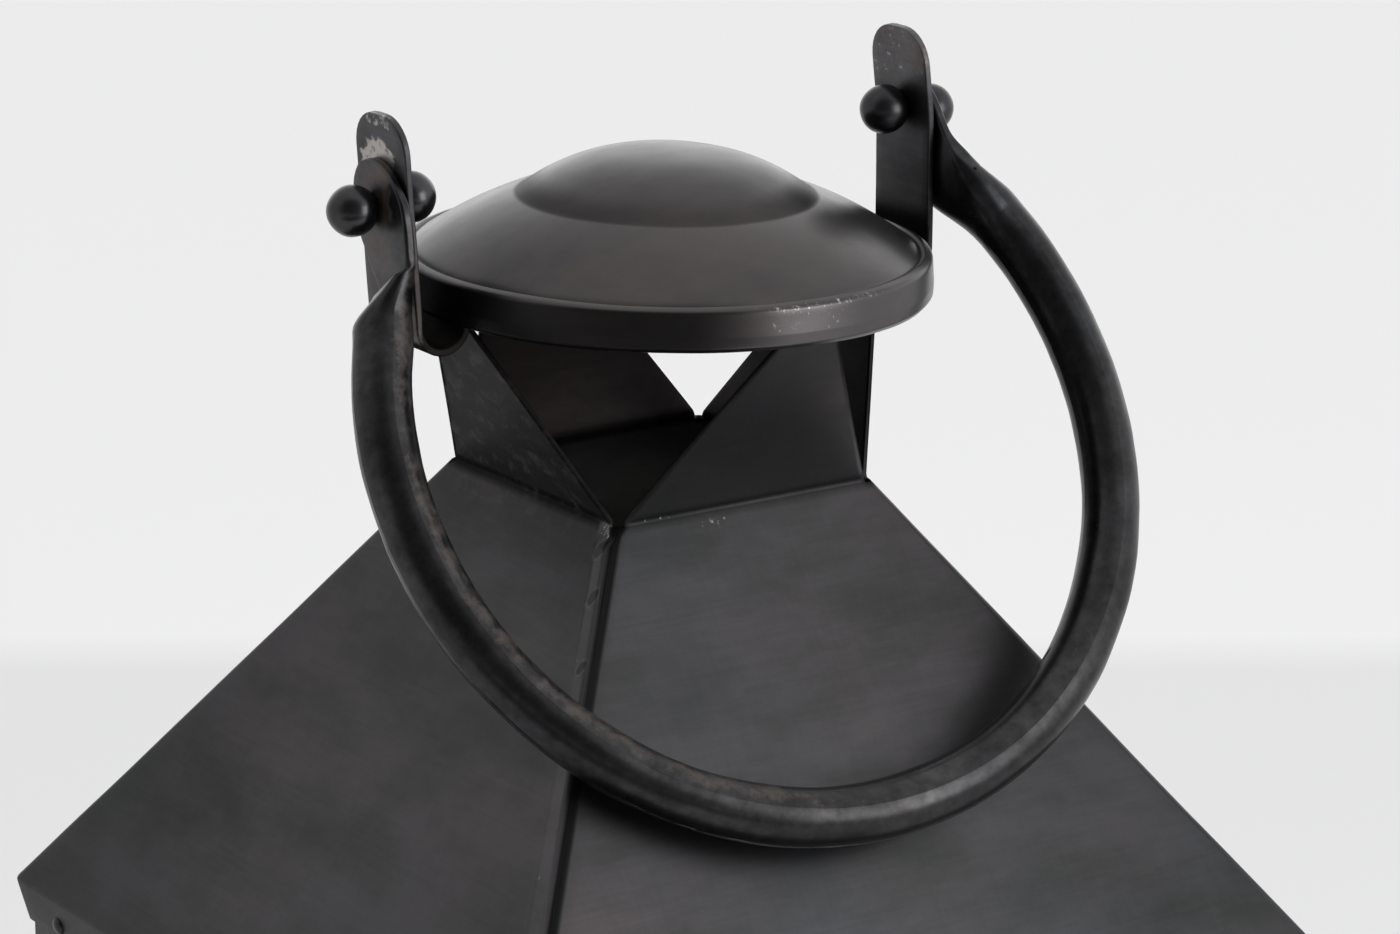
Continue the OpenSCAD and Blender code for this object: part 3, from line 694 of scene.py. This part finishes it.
def cap():
    """A spun cap: upright rim with a rounded top edge, fine groove, low dome, crease and crown."""
    crown_h, crown_power = 11.6, 2.6
    rim = [(1.2, 0.0), (0.1, 1.2), (0.0, 4.0), (0.5, RIM_H - 0.6), (2.6, RIM_H + 0.1),
           (4.0, RIM_H - 0.5), (5.6, RIM_H + 0.9)]
    profile = rounded_line([(CAP_R - inward, z) for inward, z in rim], [1.0, 3.0, 1.5, 0.6, 0.8], 1.0)
    foot = Vector(profile[-1])
    chord = Vector((CREASE_R, CREASE_H)) - foot
    bulge = chord.orthogonal() * -0.035
    steps = 24
    for k in range(1, steps + 1):
        f = k / steps
        profile.append(foot + chord * f + bulge * 4 * f * (1 - f))
    for k in range(1, 2 * steps + 1):
        f = 1 - k / (2 * steps)
        profile.append((CREASE_R * f, CREASE_H + crown_h * (1 - f ** crown_power)))
    thing = turned("cap_skin", profile, CAP_IRON, 192, 24.0, (0, 0, CAP_Z))
    rough_up(thing, (0.30, 40.0, 3.0), (0.07, 11.0, 4.0))
    paint(thing, wear=cap_wear, soot=cap_soot)
    # It sits askew on the flaps, low on the right
    middle = Vector((0, 0, CAP_Z + RIM_H / 2)) * MM
    turn = Matrix.Rotation(CAP_TILT, 3, BACK)
    for vertex in thing.data.vertices:
        vertex.co = turn @ (vertex.co - middle) + middle + CAP_ASIDE * MM
    thicken(thing, SHEET, SOOTY_IRON)
    soften(thing, 0.25, 1, 70.0, EDGE_IRON)
    return thing


def cap_soot(p):
    """Painted shade round the left of the rim, for the dark it reflects, and in its groove and the
    crease; the right of the rim is painted light.
    """
    out = hypot(p.x, p.y)
    up = p.z - CAP_Z - RIM_H
    rim = ramp(CAP_R - 1.6, CAP_R - 0.8, out) * ramp(-0.4, -1.6, up)
    side = ramp(0.10, 0.45, p.dot(RIGHT) / CAP_R)
    groove = near(out, CAP_R - 4.2, 0.2, 1.2) * ramp(1.0, 0.0, up)
    crease = ramp(CREASE_R - 9.0, CREASE_R - 1.5, out) * ramp(CREASE_R + 1.0, CREASE_R, out)
    # Painted reflection on the rim, dark on the left and pale on the right, and painted shade in the
    # groove and the crease
    return rim * (0.72 - 1.5 * side) + (1 - rim) * max(0.4 * groove * (1 - side), 0.32 * crease)


def cap_wear(p):
    """Rubbed metal on the rim, worst where the cap has been knocked, and a painted highlight laid as
    rubbed metal along the front of its top edge.
    """
    rim = ramp(CAP_R - 2.5, CAP_R - 1.2, hypot(p.x, p.y))
    bearing = degrees(atan2(p.y, p.x))
    knock = near(bearing, -92.0, 6.0, 17.0) * ramp(2.0, 5.0, p.z - CAP_Z)
    # Painted highlight along the front of the rim's top edge, laid on as rubbed metal
    rim_top_rub_and_highlight = near(p.z, CAP_Z + RIM_H - 0.8, 0.4, 1.8) * near(bearing, -88.0, 10.0, 30.0)
    return rim * max(0.33 * knock, 0.40 * rim_top_rub_and_highlight)


# -------- ears, pins and balls


def bent(side, z):
    """How far out an ear's upright leg stands at height z: it bends out evenly past a soft start."""
    over = max(0.0, z - PIVOT_Z - BENT_FROM[side])
    easing = 4.0
    return STAND[side] + BENT[side] * (over * over / (2 * easing) if over < easing else over - easing / 2)


def ear(side):
    """A strap ear: upright leg with a round top, bend under the cap's edge, short inner leg."""
    leg_x = EAR_X + STAND[side]
    bend_r = (leg_x - EAR_INNER_X) / 2
    bend_x = (leg_x + EAR_INNER_X) / 2
    bend_z = CAP_Z + 2.5
    round_r = EAR_W * 0.4
    leg_top = TOP_Z[side] - round_r
    half = EAR_W / 2
    top_steps, leg_steps, bend_steps = 8, 26, 16
    stations = []
    for k in range(top_steps + 1):
        a = radians(90 * k / top_steps)
        stations.append((EAR_X, leg_top + round_r * cos(a), half - round_r + round_r * sin(a)))
    stations += [(EAR_X, leg_top + (bend_z - leg_top) * k / leg_steps, half)
                 for k in range(1, leg_steps + 1)]
    stations = [(x + bent(side, z), z, w) for x, z, w in stations]
    for k in range(1, bend_steps + 1):
        a = radians(-180 * k / bend_steps)
        stations.append((bend_x + bend_r * cos(a), bend_z + bend_r * sin(a), half))
    stations.append((EAR_INNER_X, CAP_Z + EAR_HOOK, half))
    rows = []
    for i, (x, z, width) in enumerate(stations):
        before = Vector(stations[max(0, i - 1)][:2])
        after = Vector(stations[min(len(stations) - 1, i + 1)][:2])
        heading = (after - before).normalized()
        rows.append([Vector((side * (x - heading.y * v), u, z + heading.x * v))
                     for u, v in rounded_section(width, EAR_T / 2, 0.5, 4, 8)])
    points, faces = loft(rows)
    thing = to_object("ear_strap_" + WORDS[side], points, faces, STRAP_IRON, sharp=50.0)
    rough_up(thing, (0.16, 15.0, 5.0 + side))

    def ear_soot(p):
        """Painted shade on the inner side beside the cap, and painted light on the right ear's top."""
        # Painted shade between the ear and the cap; painted light makes the right ear's top paler
        beside_cap = ramp(CAP_Z + 16, CAP_Z + 7, p.z) * ramp(leg_x - 0.2, leg_x - 0.6, abs(p.x))
        return 0.85 * beside_cap - 0.8 * (side > 0) * ramp(PIVOT_Z + 8, PIVOT_Z + 13, p.z)

    paint(thing, soot=ear_soot, wear=ear_wear_right if side > 0 else ear_wear_left)
    if side > 0:
        paint(thing, rust=lambda p: 0.52 * ear_top(p))
    return thing


def ear_top(p):
    return ramp(PIVOT_Z + 9, PIVOT_Z + 14, p.z)


def ear_edge(p):
    return ramp(EAR_W / 2 - 0.7, EAR_W / 2 - 0.2, abs(p.y))


def ear_wear_left(p):
    """Bare metal on the outer face just over the ring's end, where it rubs, and scratches at the top."""
    outer = -p.x > EAR_X + bent(-1, p.z)
    above = p.z - PIVOT_Z - RAISE[-1]
    lens = ramp(1.04, 0.86, hypot((p.y - 1.0) / 9.8, (above - 8.5) / 9.4))
    top = near(above, 22.5, 2.0, 3.6) * near(p.y, 0.5, 4.5, 8.0)
    edge = ear_edge(p) * ramp(CAP_Z - 4, CAP_Z + 10, p.z)
    return max(outer * 0.84 * lens, outer * 0.56 * top, 0.30 * edge)


def ear_wear_right(p):
    """Pale specks on the top, and a rubbed edge."""
    return max(0.34 * ear_top(p), 0.26 * ear_edge(p))


def ball(name, out, flat_out, side, seat=BALL_SEAT):
    """A forged ball, out from the ear's middle, with a flat that faces out at 1 and in at -1."""
    cut = acos(seat / BALL_R)
    steps = 32
    profile = [(0.0, -seat)]
    for k in range(steps + 1):
        a = cut + (pi - cut) * k / steps
        profile.append((BALL_R * sin(a), -BALL_R * cos(a)))
    profile = [(r, side * (out - flat_out * z)) for r, z in profile]
    thing = turned(name, profile, BALL_IRON, 48, 60.0, axis="X")
    rough_up(thing, (0.12, 5.0, out))
    tip(thing, side)
    soften(thing, 0.4)
    return thing


def pin(name, out, side):
    """The shank between the two balls of a pivot, which reaches from inside the inner ball to out."""
    inside = -EAR_T / 2 - SIDE_GAP - 2.0
    profile = [(0.0, side * inside), (PIN_R, side * inside), (PIN_R, side * out), (0.0, side * out)]
    thing = turned(name, profile, BALL_IRON, 32, 40.0, axis="X")
    tip(thing, side)
    return thing


def tip(thing, side):
    """Puts a pin or ball at its pivot: it tips a little about the middle of the ear."""
    height = PIVOT_Z + RAISE[side]
    middle = Vector((side * (EAR_X + bent(side, height)), 0, height)) * MM
    thing.data.transform(Matrix.Translation(middle) @ Matrix.Rotation(side * TIP[side], 4, "Y"))


# -------- ring handle

PLATE_CORNER = 0.9


def ring_end(side):
    """One end of the ring, from its flat round top down to where the ring is a true circle.

    Each station is (place on the inner side, heading, half width, half thickness, corner radius). The
    inner side runs straight down, round a bend and into the circle. The outer side steps out at a
    shoulder, which is crisp on the left and drawn out on the right."""
    inner = EAR_X + bent(side, PIVOT_Z) + EAR_T / 2 + SLACK[side]
    bend = 45.0
    reach = RING_R - BAR_R + bend
    start = asin((inner + bend) / reach)
    middle = Vector((inner + bend, -RING_DROP + reach * cos(start)))
    line = []
    top_h = 17.0
    foot = RAISE[side] + EYE_R - top_h
    for k in range(11):
        a = radians(88 - 88 * k / 10)
        line.append((Vector((inner, foot + top_h * sin(a))), Vector((0, -1)), EYE_R * cos(a)))
    down = foot
    while down > middle.y + 0.7:
        down -= 0.6
        line.append((Vector((inner, down)), Vector((0, -1)), EYE_R))
    steps = 32
    for k in range(1, steps + 1):
        a = (pi / 2 - start) * k / steps
        out = Vector((cos(a), sin(a)))
        line.append((middle - out * bend, Vector((out.y, -out.x)), EYE_R))
    stations = []
    for place, heading, width in line:
        deep = -place.y
        if side < 0:
            crest = 1.3
            rise = part_way(22.6, 36.6, deep)
            thick = EYE_T / 2 + crest * ramp(22.2, 23.2, deep)
            thick += (BAR_R - crest - EYE_T / 2) * sin(rise * pi / 2)
            rounding = ramp(20.5, 24.5, deep)
            narrowing = ramp(5.0, 34.0, deep)
        else:
            thick = EYE_T / 2 + (BAR_R - EYE_T / 2) * ramp(8.0, 38.0, deep)
            rounding = ramp(14.0, 30.0, deep)
            narrowing = ramp(19.0, 40.0, deep)
        width += (BAR_R - width) * narrowing
        stations.append((place, heading, width, thick, PLATE_CORNER + (BAR_R - PLATE_CORNER) * rounding))
    return stations, start


def ring_handle():
    """The ring as one forged bar: flat eye, shoulder, round bar, shoulder and the other flat eye."""
    stations, start = ring_end(1)
    last, end = ring_end(-1)
    steps = 128
    for k in range(1, steps):
        a = start + (tau - start - end) * k / steps
        out = Vector((sin(a), cos(a)))
        inner = Vector((0, -RING_DROP)) + out * (RING_R - BAR_R)
        stations.append((inner, Vector((cos(a), -sin(a))), BAR_R, BAR_R, BAR_R))
    stations.extend((Vector((-p.x, p.y)), Vector((heading.x, -heading.y)), a, b, corner)
                    for p, heading, a, b, corner in reversed(last))
    swing = Matrix.Rotation(-RING_REST, 3, "X")
    rows = []
    for p, heading, a, b, corner in stations:
        normal = heading.orthogonal()
        # The eyes stand square to the pins, and the bar between them is askew
        askew = Matrix.Rotation(-RING_SKEW * ramp(-6.0, -36.0, p.y), 3, "Z")
        middle = p + normal * b
        rows.append([swing @ (askew @ Vector((middle.x + normal.x * v, u, middle.y + normal.y * v)))
                     + Vector((0, 0, PIVOT_Z)) for u, v in rounded_section(a, b, corner, 8, 4)])
    points, faces = loft(rows)
    thing = to_object("ring_bar", points, faces, BAR_IRON, sharp=48.0)
    rough_up(thing, (0.30, 26.0, 6.0), (0.14, 9.0, 7.0), (0.05, 3.0, 8.0))
    askew = Matrix.Rotation(-RING_SKEW, 3, "Z")
    hub = swing @ Vector((0, 0, -RING_DROP)) + Vector((0, 0, PIVOT_Z))
    axis = swing @ (askew @ Vector((0, 1, 0)))

    def about_axis(p):
        """How far a point is from the ring's axis, and how far along it toward the front."""
        arm = p - hub
        over = arm.dot(axis)
        return (arm - axis * over).length, -over

    def left_plate(p, low_z):
        """1 on the flat end at the left, from a height down to low_z."""
        middle = ramp(EYE_R - 0.5, EYE_R - 3.5, abs(p.y))
        return ramp(low_z, PIVOT_Z - 18, p.z) * ramp(40.0, -60.0, p.x) * middle

    def rusty(p):
        """Rust on the inner side of the bar, worst at the left, and on the plate there."""
        inside = ramp(RING_R + 3.0, RING_R - 2.0, about_axis(p)[0])
        left = ramp(40.0, -60.0, p.x)
        return max(inside * (0.12 + 0.48 * left), 0.72 * left_plate(p, PIVOT_Z - 26))

    def rubbed(p):
        """Fine scratches along the top of the bar's lowest stretch."""
        flat, over = about_axis(p)
        bottom = ramp(PIVOT_Z - 105, PIVOT_Z - 125, p.z)
        return 0.20 * ramp(0.5, 5.0, over) * bottom * ramp(RING_R + 4.0, RING_R - 2.0, flat)

    # The flat end at the left is paler than the bar
    paint(thing, rust=rusty, wear=rubbed, soot=lambda p: -0.8 * left_plate(p, PIVOT_Z - 24))
    return thing


# -------- body


def rounded_copy(node, material, width, edge_material=None):
    """The CAD node's own shape as a new piece, with its sharp edges rounded."""
    sharp = 30.0

    def flatten(shell):
        bmesh.ops.remove_doubles(shell, verts=shell.verts, dist=0.002 * MM)
        bmesh.ops.dissolve_limit(shell, angle_limit=radians(0.5), verts=shell.verts, edges=shell.edges)

    mesh = frame["nodes"][node].data.copy()
    shade(mesh, sharp, flatten)
    mesh.materials.clear()
    mesh.materials.append(material)
    thing = added(node + "_piece", mesh)
    soften(thing, width, 2, sharp, edge_material)
    return thing


def beside(line, distance):
    """The 2D line that runs at an even distance to the left of a line of points."""
    result = []
    for i, p in enumerate(line):
        ahead = (line[min(i + 1, len(line) - 1)] - line[min(i, len(line) - 2)]).normalized()
        back = (p - line[i - 1]).normalized() if i else ahead
        left = ahead.orthogonal()
        middle = (left + back.orthogonal()).normalized()
        result.append(p + middle * distance / middle.dot(left))
    return result


def base_pan():
    """The square pan that carries the body, with soft folds and corners."""
    fold_r = 2.5
    rim = BASE_HALF - fold_r
    outline = [(rim * k / 10, BASE_Z) for k in range(1, 11)]
    for k in range(1, 7):
        a = radians(15 * k)
        outline.append((rim + fold_r * sin(a), BASE_Z - fold_r + fold_r * cos(a)))
    outline += [(BASE_HALF, BASE_Z - fold_r - (BASE_FOLD - fold_r) * k / 4) for k in range(1, 5)]
    rows = [[(x, y, z) for x, y, *_ in square_ring(half, fold_r * half / BASE_HALF, 16)]
            for half, z in outline]
    points, faces = loft(rows, cap_ends=False)
    faces.append(tuple(range(len(rows[0]))))
    thing = to_object("base_pan_skin", points, faces, FRAME_IRON, 50.0)
    rough_up(thing, (0.25, 70.0, 11.0))
    paint(thing, wear=lambda p: 0.30 * ramp(4.0, 1.0, abs(max(abs(p.x), abs(p.y)) - BASE_HALF)
                                            + abs(p.z - BASE_Z)))
    thicken(thing, BASE_T)
    return thing


def feet():
    """Four turned feet, numbered in their names."""
    foot_r, foot_h = 11.0, BASE_Z - BASE_T
    foot_at = high("feet").x - foot_r
    profile = rounded_line([(0, 0), (foot_r, 0), (foot_r, foot_h * 0.48), (foot_r * 0.56, foot_h * 0.70),
                            (foot_r * 0.62, foot_h * 0.92), (foot_r * 0.74, foot_h), (0, foot_h)],
                           [6.0, 4.5, 4.0, 1.5, 0.5], 1.2)
    corners = [(sx * foot_at, sy * foot_at, 0) for sx in (-1, 1) for sy in (-1, 1)]
    return [turned("foot_%d" % number, profile, FRAME_IRON, 48, 50.0, place)
            for number, place in enumerate(corners, 1)]


def door_pull():
    """A ball knob on a waisted stem with a collar."""
    lo, hi = low("door_pull"), high("door_pull")
    length = hi.y - lo.y
    ball_r = (hi.z - lo.z) / 2
    plate = 2.0
    neck = 2.1
    cut = asin(neck / ball_r)
    profile = [(0, 0), (2.5, 0), (2.5, plate)]
    profile += rounded_line([(4.5, plate), (4.5, plate + 1.5), (2.9, plate + 2.2), (neck, plate + 4.4)],
                            [0.5, 1.0], 0.6)
    for k in range(25):
        a = pi - cut - (pi - cut) * k / 24
        profile.append((ball_r * sin(a), length - ball_r + ball_r * cos(a)))
    middle = centre("door_pull")
    thing = turned("door_pull_knob", profile, BALL_IRON, 48, 45.0, (middle.x, hi.y, middle.z), "-Y")
    paint(thing, wear=lambda p: 0.30 * ramp(lo.y + 3.0, lo.y + 0.5, p.y))
    return thing


def hinge_pin(node):
    """A hinge pin with a low domed head."""
    lo, hi = low(node), high(node)
    pin_r, head_h = 1.5, 1.3
    head_r = (hi.x - lo.x) / 2
    top = hi.z - lo.z
    profile = rounded_line([(0, 0), (pin_r, 0), (pin_r, top - head_h), (head_r, top - head_h),
                            (head_r, top - 0.3), (0, top)], [0.3, 0.05, 0.2, 0.8], 2.0, 4)
    middle = centre(node)
    return turned(node + "_piece", profile, BALL_IRON, 32, 40.0, (middle.x, middle.y, lo.z))


def candle_dish():
    """A spun dish with a sloping wall and a turned-out lip."""
    lip_r, floor_r, wall_r = high("candle_dish").x, 49.6, 55.0
    dish_h = 9.0
    line = rounded_line([(0, 0), (floor_r, 0), (wall_r, dish_h - 1.0), (lip_r - 0.4, dish_h - 0.2)],
                        [3.0, 1.6], 2.5)
    profile = line + list(reversed(beside(line, SHEET)))
    profile[-1].x = 0.0
    thing = turned("dish_spinning", profile, CAP_IRON, 96, 40.0, (0, 0, low("candle_dish").z))
    soften(thing, 0.3, 2, 60.0, EDGE_IRON)
    paint(thing, soot=lambda p: 0.2)
    return thing


def candle():
    """A pillar candle with a soft uneven rim round a pool of clear wax."""
    r = high("candle").x
    foot = low("candle").z
    h = high("candle").z - foot
    pool = 4.0
    profile = rounded_line([(0, 0), (r, 0), (r, h), (r - 6.0, h), (r * 0.62, h - pool), (0, h - pool)],
                           [1.5, 2.6, 2.4, 9.0], 2.5, 8)
    thing = turned("candle_pillar", profile, CANDLE_WAX, 96, 60.0, (0, 0, foot))
    rough_up(thing, (0.7, 42.0, 21.0), (0.12, 12.0, 22.0))
    paint(thing, melted=lambda p: ramp(r - 8.0, r - 13.0, hypot(p.x, p.y))
          * ramp(h - pool - 3.0, h - pool - 1.0, p.z - foot))
    return thing


def wick():
    """Three cotton strands twisted together, charred and bent over at the top."""
    foot, top = low("wick").z, high("wick").z
    strands, pitch, reach, thick = 3, 7.0, 0.62, 0.66
    points, faces = [], []
    for s in range(strands):
        rows = []
        steps = 70
        for k in range(steps + 1):
            z = foot + (top - foot - 0.5) * k / steps
            twist = tau * ((z - foot) / pitch + s / strands)
            bend = 1.6 * ramp(top - 7.0, top, z)
            taper = 1.0 - 0.45 * ramp(top - 1.5, top, z)
            middle = Vector((bend + reach * cos(twist), reach * sin(twist), z))
            rows.append([middle + Vector((cos(tau * c / 10), sin(tau * c / 10), 0)) * thick * taper
                         for c in range(10)])
        more, skin = loft(rows)
        faces.extend(tuple(i + len(points) for i in face) for face in skin)
        points.extend(more)
    thing = to_object("wick_braid", points, faces, WICK_COTTON, 60.0)
    paint(thing, char=lambda p: ramp(top - 7.5, top - 5.0, p.z))
    return thing


# -------- assembly

SLOTS = {part["node"]: part["material_slot"] for part in frame["record"]["subparts"]}
BODIES = {node: body for body, nodes in frame["record"]["behaviour"]["bodies"].items() for node in nodes}


def dress(piece, *nodes, beside_node=None):
    """Hangs a piece on the body of the nodes that it replaces, or of a node that it lies beside."""
    leader = nodes[0] if nodes else beside_node
    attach(piece, BODIES[leader])
    if nodes:
        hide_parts(*nodes)


dress(roof_sheet(), "roof_sheet")
dress(cap(), "cap")
dress(ring_handle(), "ring_handle")
for side, word in WORDS.items():
    inside = -EAR_T / 2 - SIDE_GAP - BALL_SEAT
    seat = BALL_SEAT if side < 0 else DEEP_SEAT
    outside = EAR_T / 2 + SLACK[side] + EYE_T + 0.25 + seat
    dress(ear(side), "ear_" + word)
    dress(ball("inner_ball_" + word, inside, 1, side), "ball_nut_" + word)
    dress(ball("outer_ball_" + word, outside, -1, side, seat), "pivot_pin_" + word)
    dress(pin("pin_shank_" + word, outside - 3.0, side), beside_node="pivot_pin_" + word)

dress(base_pan(), "base_pan")
for foot in feet():
    dress(foot, "feet")
dress(door_pull(), "door_pull")
for node in ("hinge_pin_upper", "hinge_pin_lower"):
    dress(hinge_pin(node), node)
dress(candle_dish(), "candle_dish")
dress(candle(), "candle")
dress(wick(), "wick")

# How far the edges of the pieces that keep their CAD shape are rounded
ROUNDED = {"corner_post": 0.6, "bottom_rail": 0.4, "top_rail": 0.4, "door_frame": 0.45,
           "turn_button": 0.45, "hinge_post": 0.25, "hinge_door": 0.25, "glass_clips": 0.15,
           "door_clips": 0.15}
for node, slot in SLOTS.items():
    width = next((w for start, w in ROUNDED.items() if node.startswith(start)), None)
    if "rivet" in node:
        frame["nodes"][node].data.materials.clear()
        frame["nodes"][node].data.materials.append(BALL_IRON)
    elif width:
        dress(rounded_copy(node, FRAME_IRON, width, EDGE_IRON), node)
    elif slot == "glass":
        dress(rounded_copy(node, CLEAR_GLASS, 0.3), node)


# -------- camera


def camera():
    data = bpy.data.cameras.new("camera")
    data.sensor_width = 36.0
    data.lens = LENS
    data.clip_start = 0.05
    data.clip_end = 50.0
    thing = added("camera", data)
    place = (Vector((0, 0, OPEN_Z)) + RIGHT * ASIDE + BACK * DISTANCE) * MM
    turn = Matrix((RIGHT, UP, BACK)).transposed()
    thing.matrix_world = Matrix.Translation(place) @ turn.to_4x4()
    bpy.context.scene.camera = thing


# -------- studio, in metres

LEVEL = Vector((BACK.x, BACK.y, 0)).normalized()


def flat(name, corners, material):
    """One flat face."""
    return to_object(name, [Vector(corner) / MM for corner in corners], [(0, 1, 2, 3)], material)


def studio():
    """A pale floor, a shade darker on the square that the lantern stands on."""
    reach, table = 12.0, 1.274
    corners = [(-reach, -reach, 0), (reach, -reach, 0), (reach, reach, 0), (-reach, reach, 0)]
    s = Shader("studio_paper")
    place = s.place()
    away, across = (s.math("ABSOLUTE", s.along(place, heading)) for heading in (LEVEL, RIGHT))
    edge = s.range(s.math("MAXIMUM", away, across), table - 0.03, table + 0.03)
    colour = s.mix(edge, (0.86, 0.86, 0.863), (0.96, 0.96, 0.961))
    paper = s.add("ShaderNodeBsdfDiffuse", {"Color": colour})
    s.add("ShaderNodeOutputMaterial", {"Surface": paper})
    flat("floor", corners, s.material)


def room():
    """Soft light from all round: brightest over the right and behind, dark in front of the lantern."""
    s = WorldShader("studio")
    view = s.add("ShaderNodeTexCoord", out="Generated")
    front, right = s.along(view, BACK), s.along(view, RIGHT)
    level = s.plus(s.range(right, -0.8, 0.5, 0.80, 1.25), s.range(front, -0.6, -0.95, 0.0, 0.5))
    level = s.times(level, s.range(front, 0.45, 0.80, 1.0, 0.12))
    s.wire(s.tree.nodes["Background"], {"Color": s.scale((1.0, 1.0, 1.0), level)})


def dark_card():
    """A dark card in front, seen only in the iron's reflections."""
    near_edge, far_edge, half, height = 1.0, 3.2, 1.4, 0.003
    corners = [LEVEL * d + RIGHT * w + Vector((0, 0, height))
               for d, w in ((near_edge, -half), (near_edge, half), (far_edge, half), (far_edge, -half))]
    paper = Shader("dark_card_paper").finish(Base_Color=(0.03, 0.03, 0.03, 1.0), Roughness=0.9)
    card = flat("dark_card", corners, paper)
    card.visible_camera = card.visible_diffuse = card.visible_transmission = card.visible_shadow = False


def right_box():
    """A soft box, mostly to the right of the camera, aimed at the lantern's top."""
    width, height, radiance, distance = 0.7, 0.8, 4.5, 1.5
    data = bpy.data.lights.new("right_box", "AREA")
    data.shape = "RECTANGLE"
    data.size, data.size_y = width, height
    data.energy = pi * radiance * width * height
    thing = added("right_box", data)
    aim = Vector((0, 0, OPEN_Z * MM))
    toward = (RIGHT * 0.85 + UP * 0.05 + BACK * 0.50).normalized()
    thing.location = aim + toward * distance
    thing.rotation_euler = toward.to_track_quat("Z", "Y").to_euler()
    thing.visible_camera = False


camera()
studio()
room()
dark_card()
right_box()

bpy.context.scene.view_settings.view_transform = "Standard"
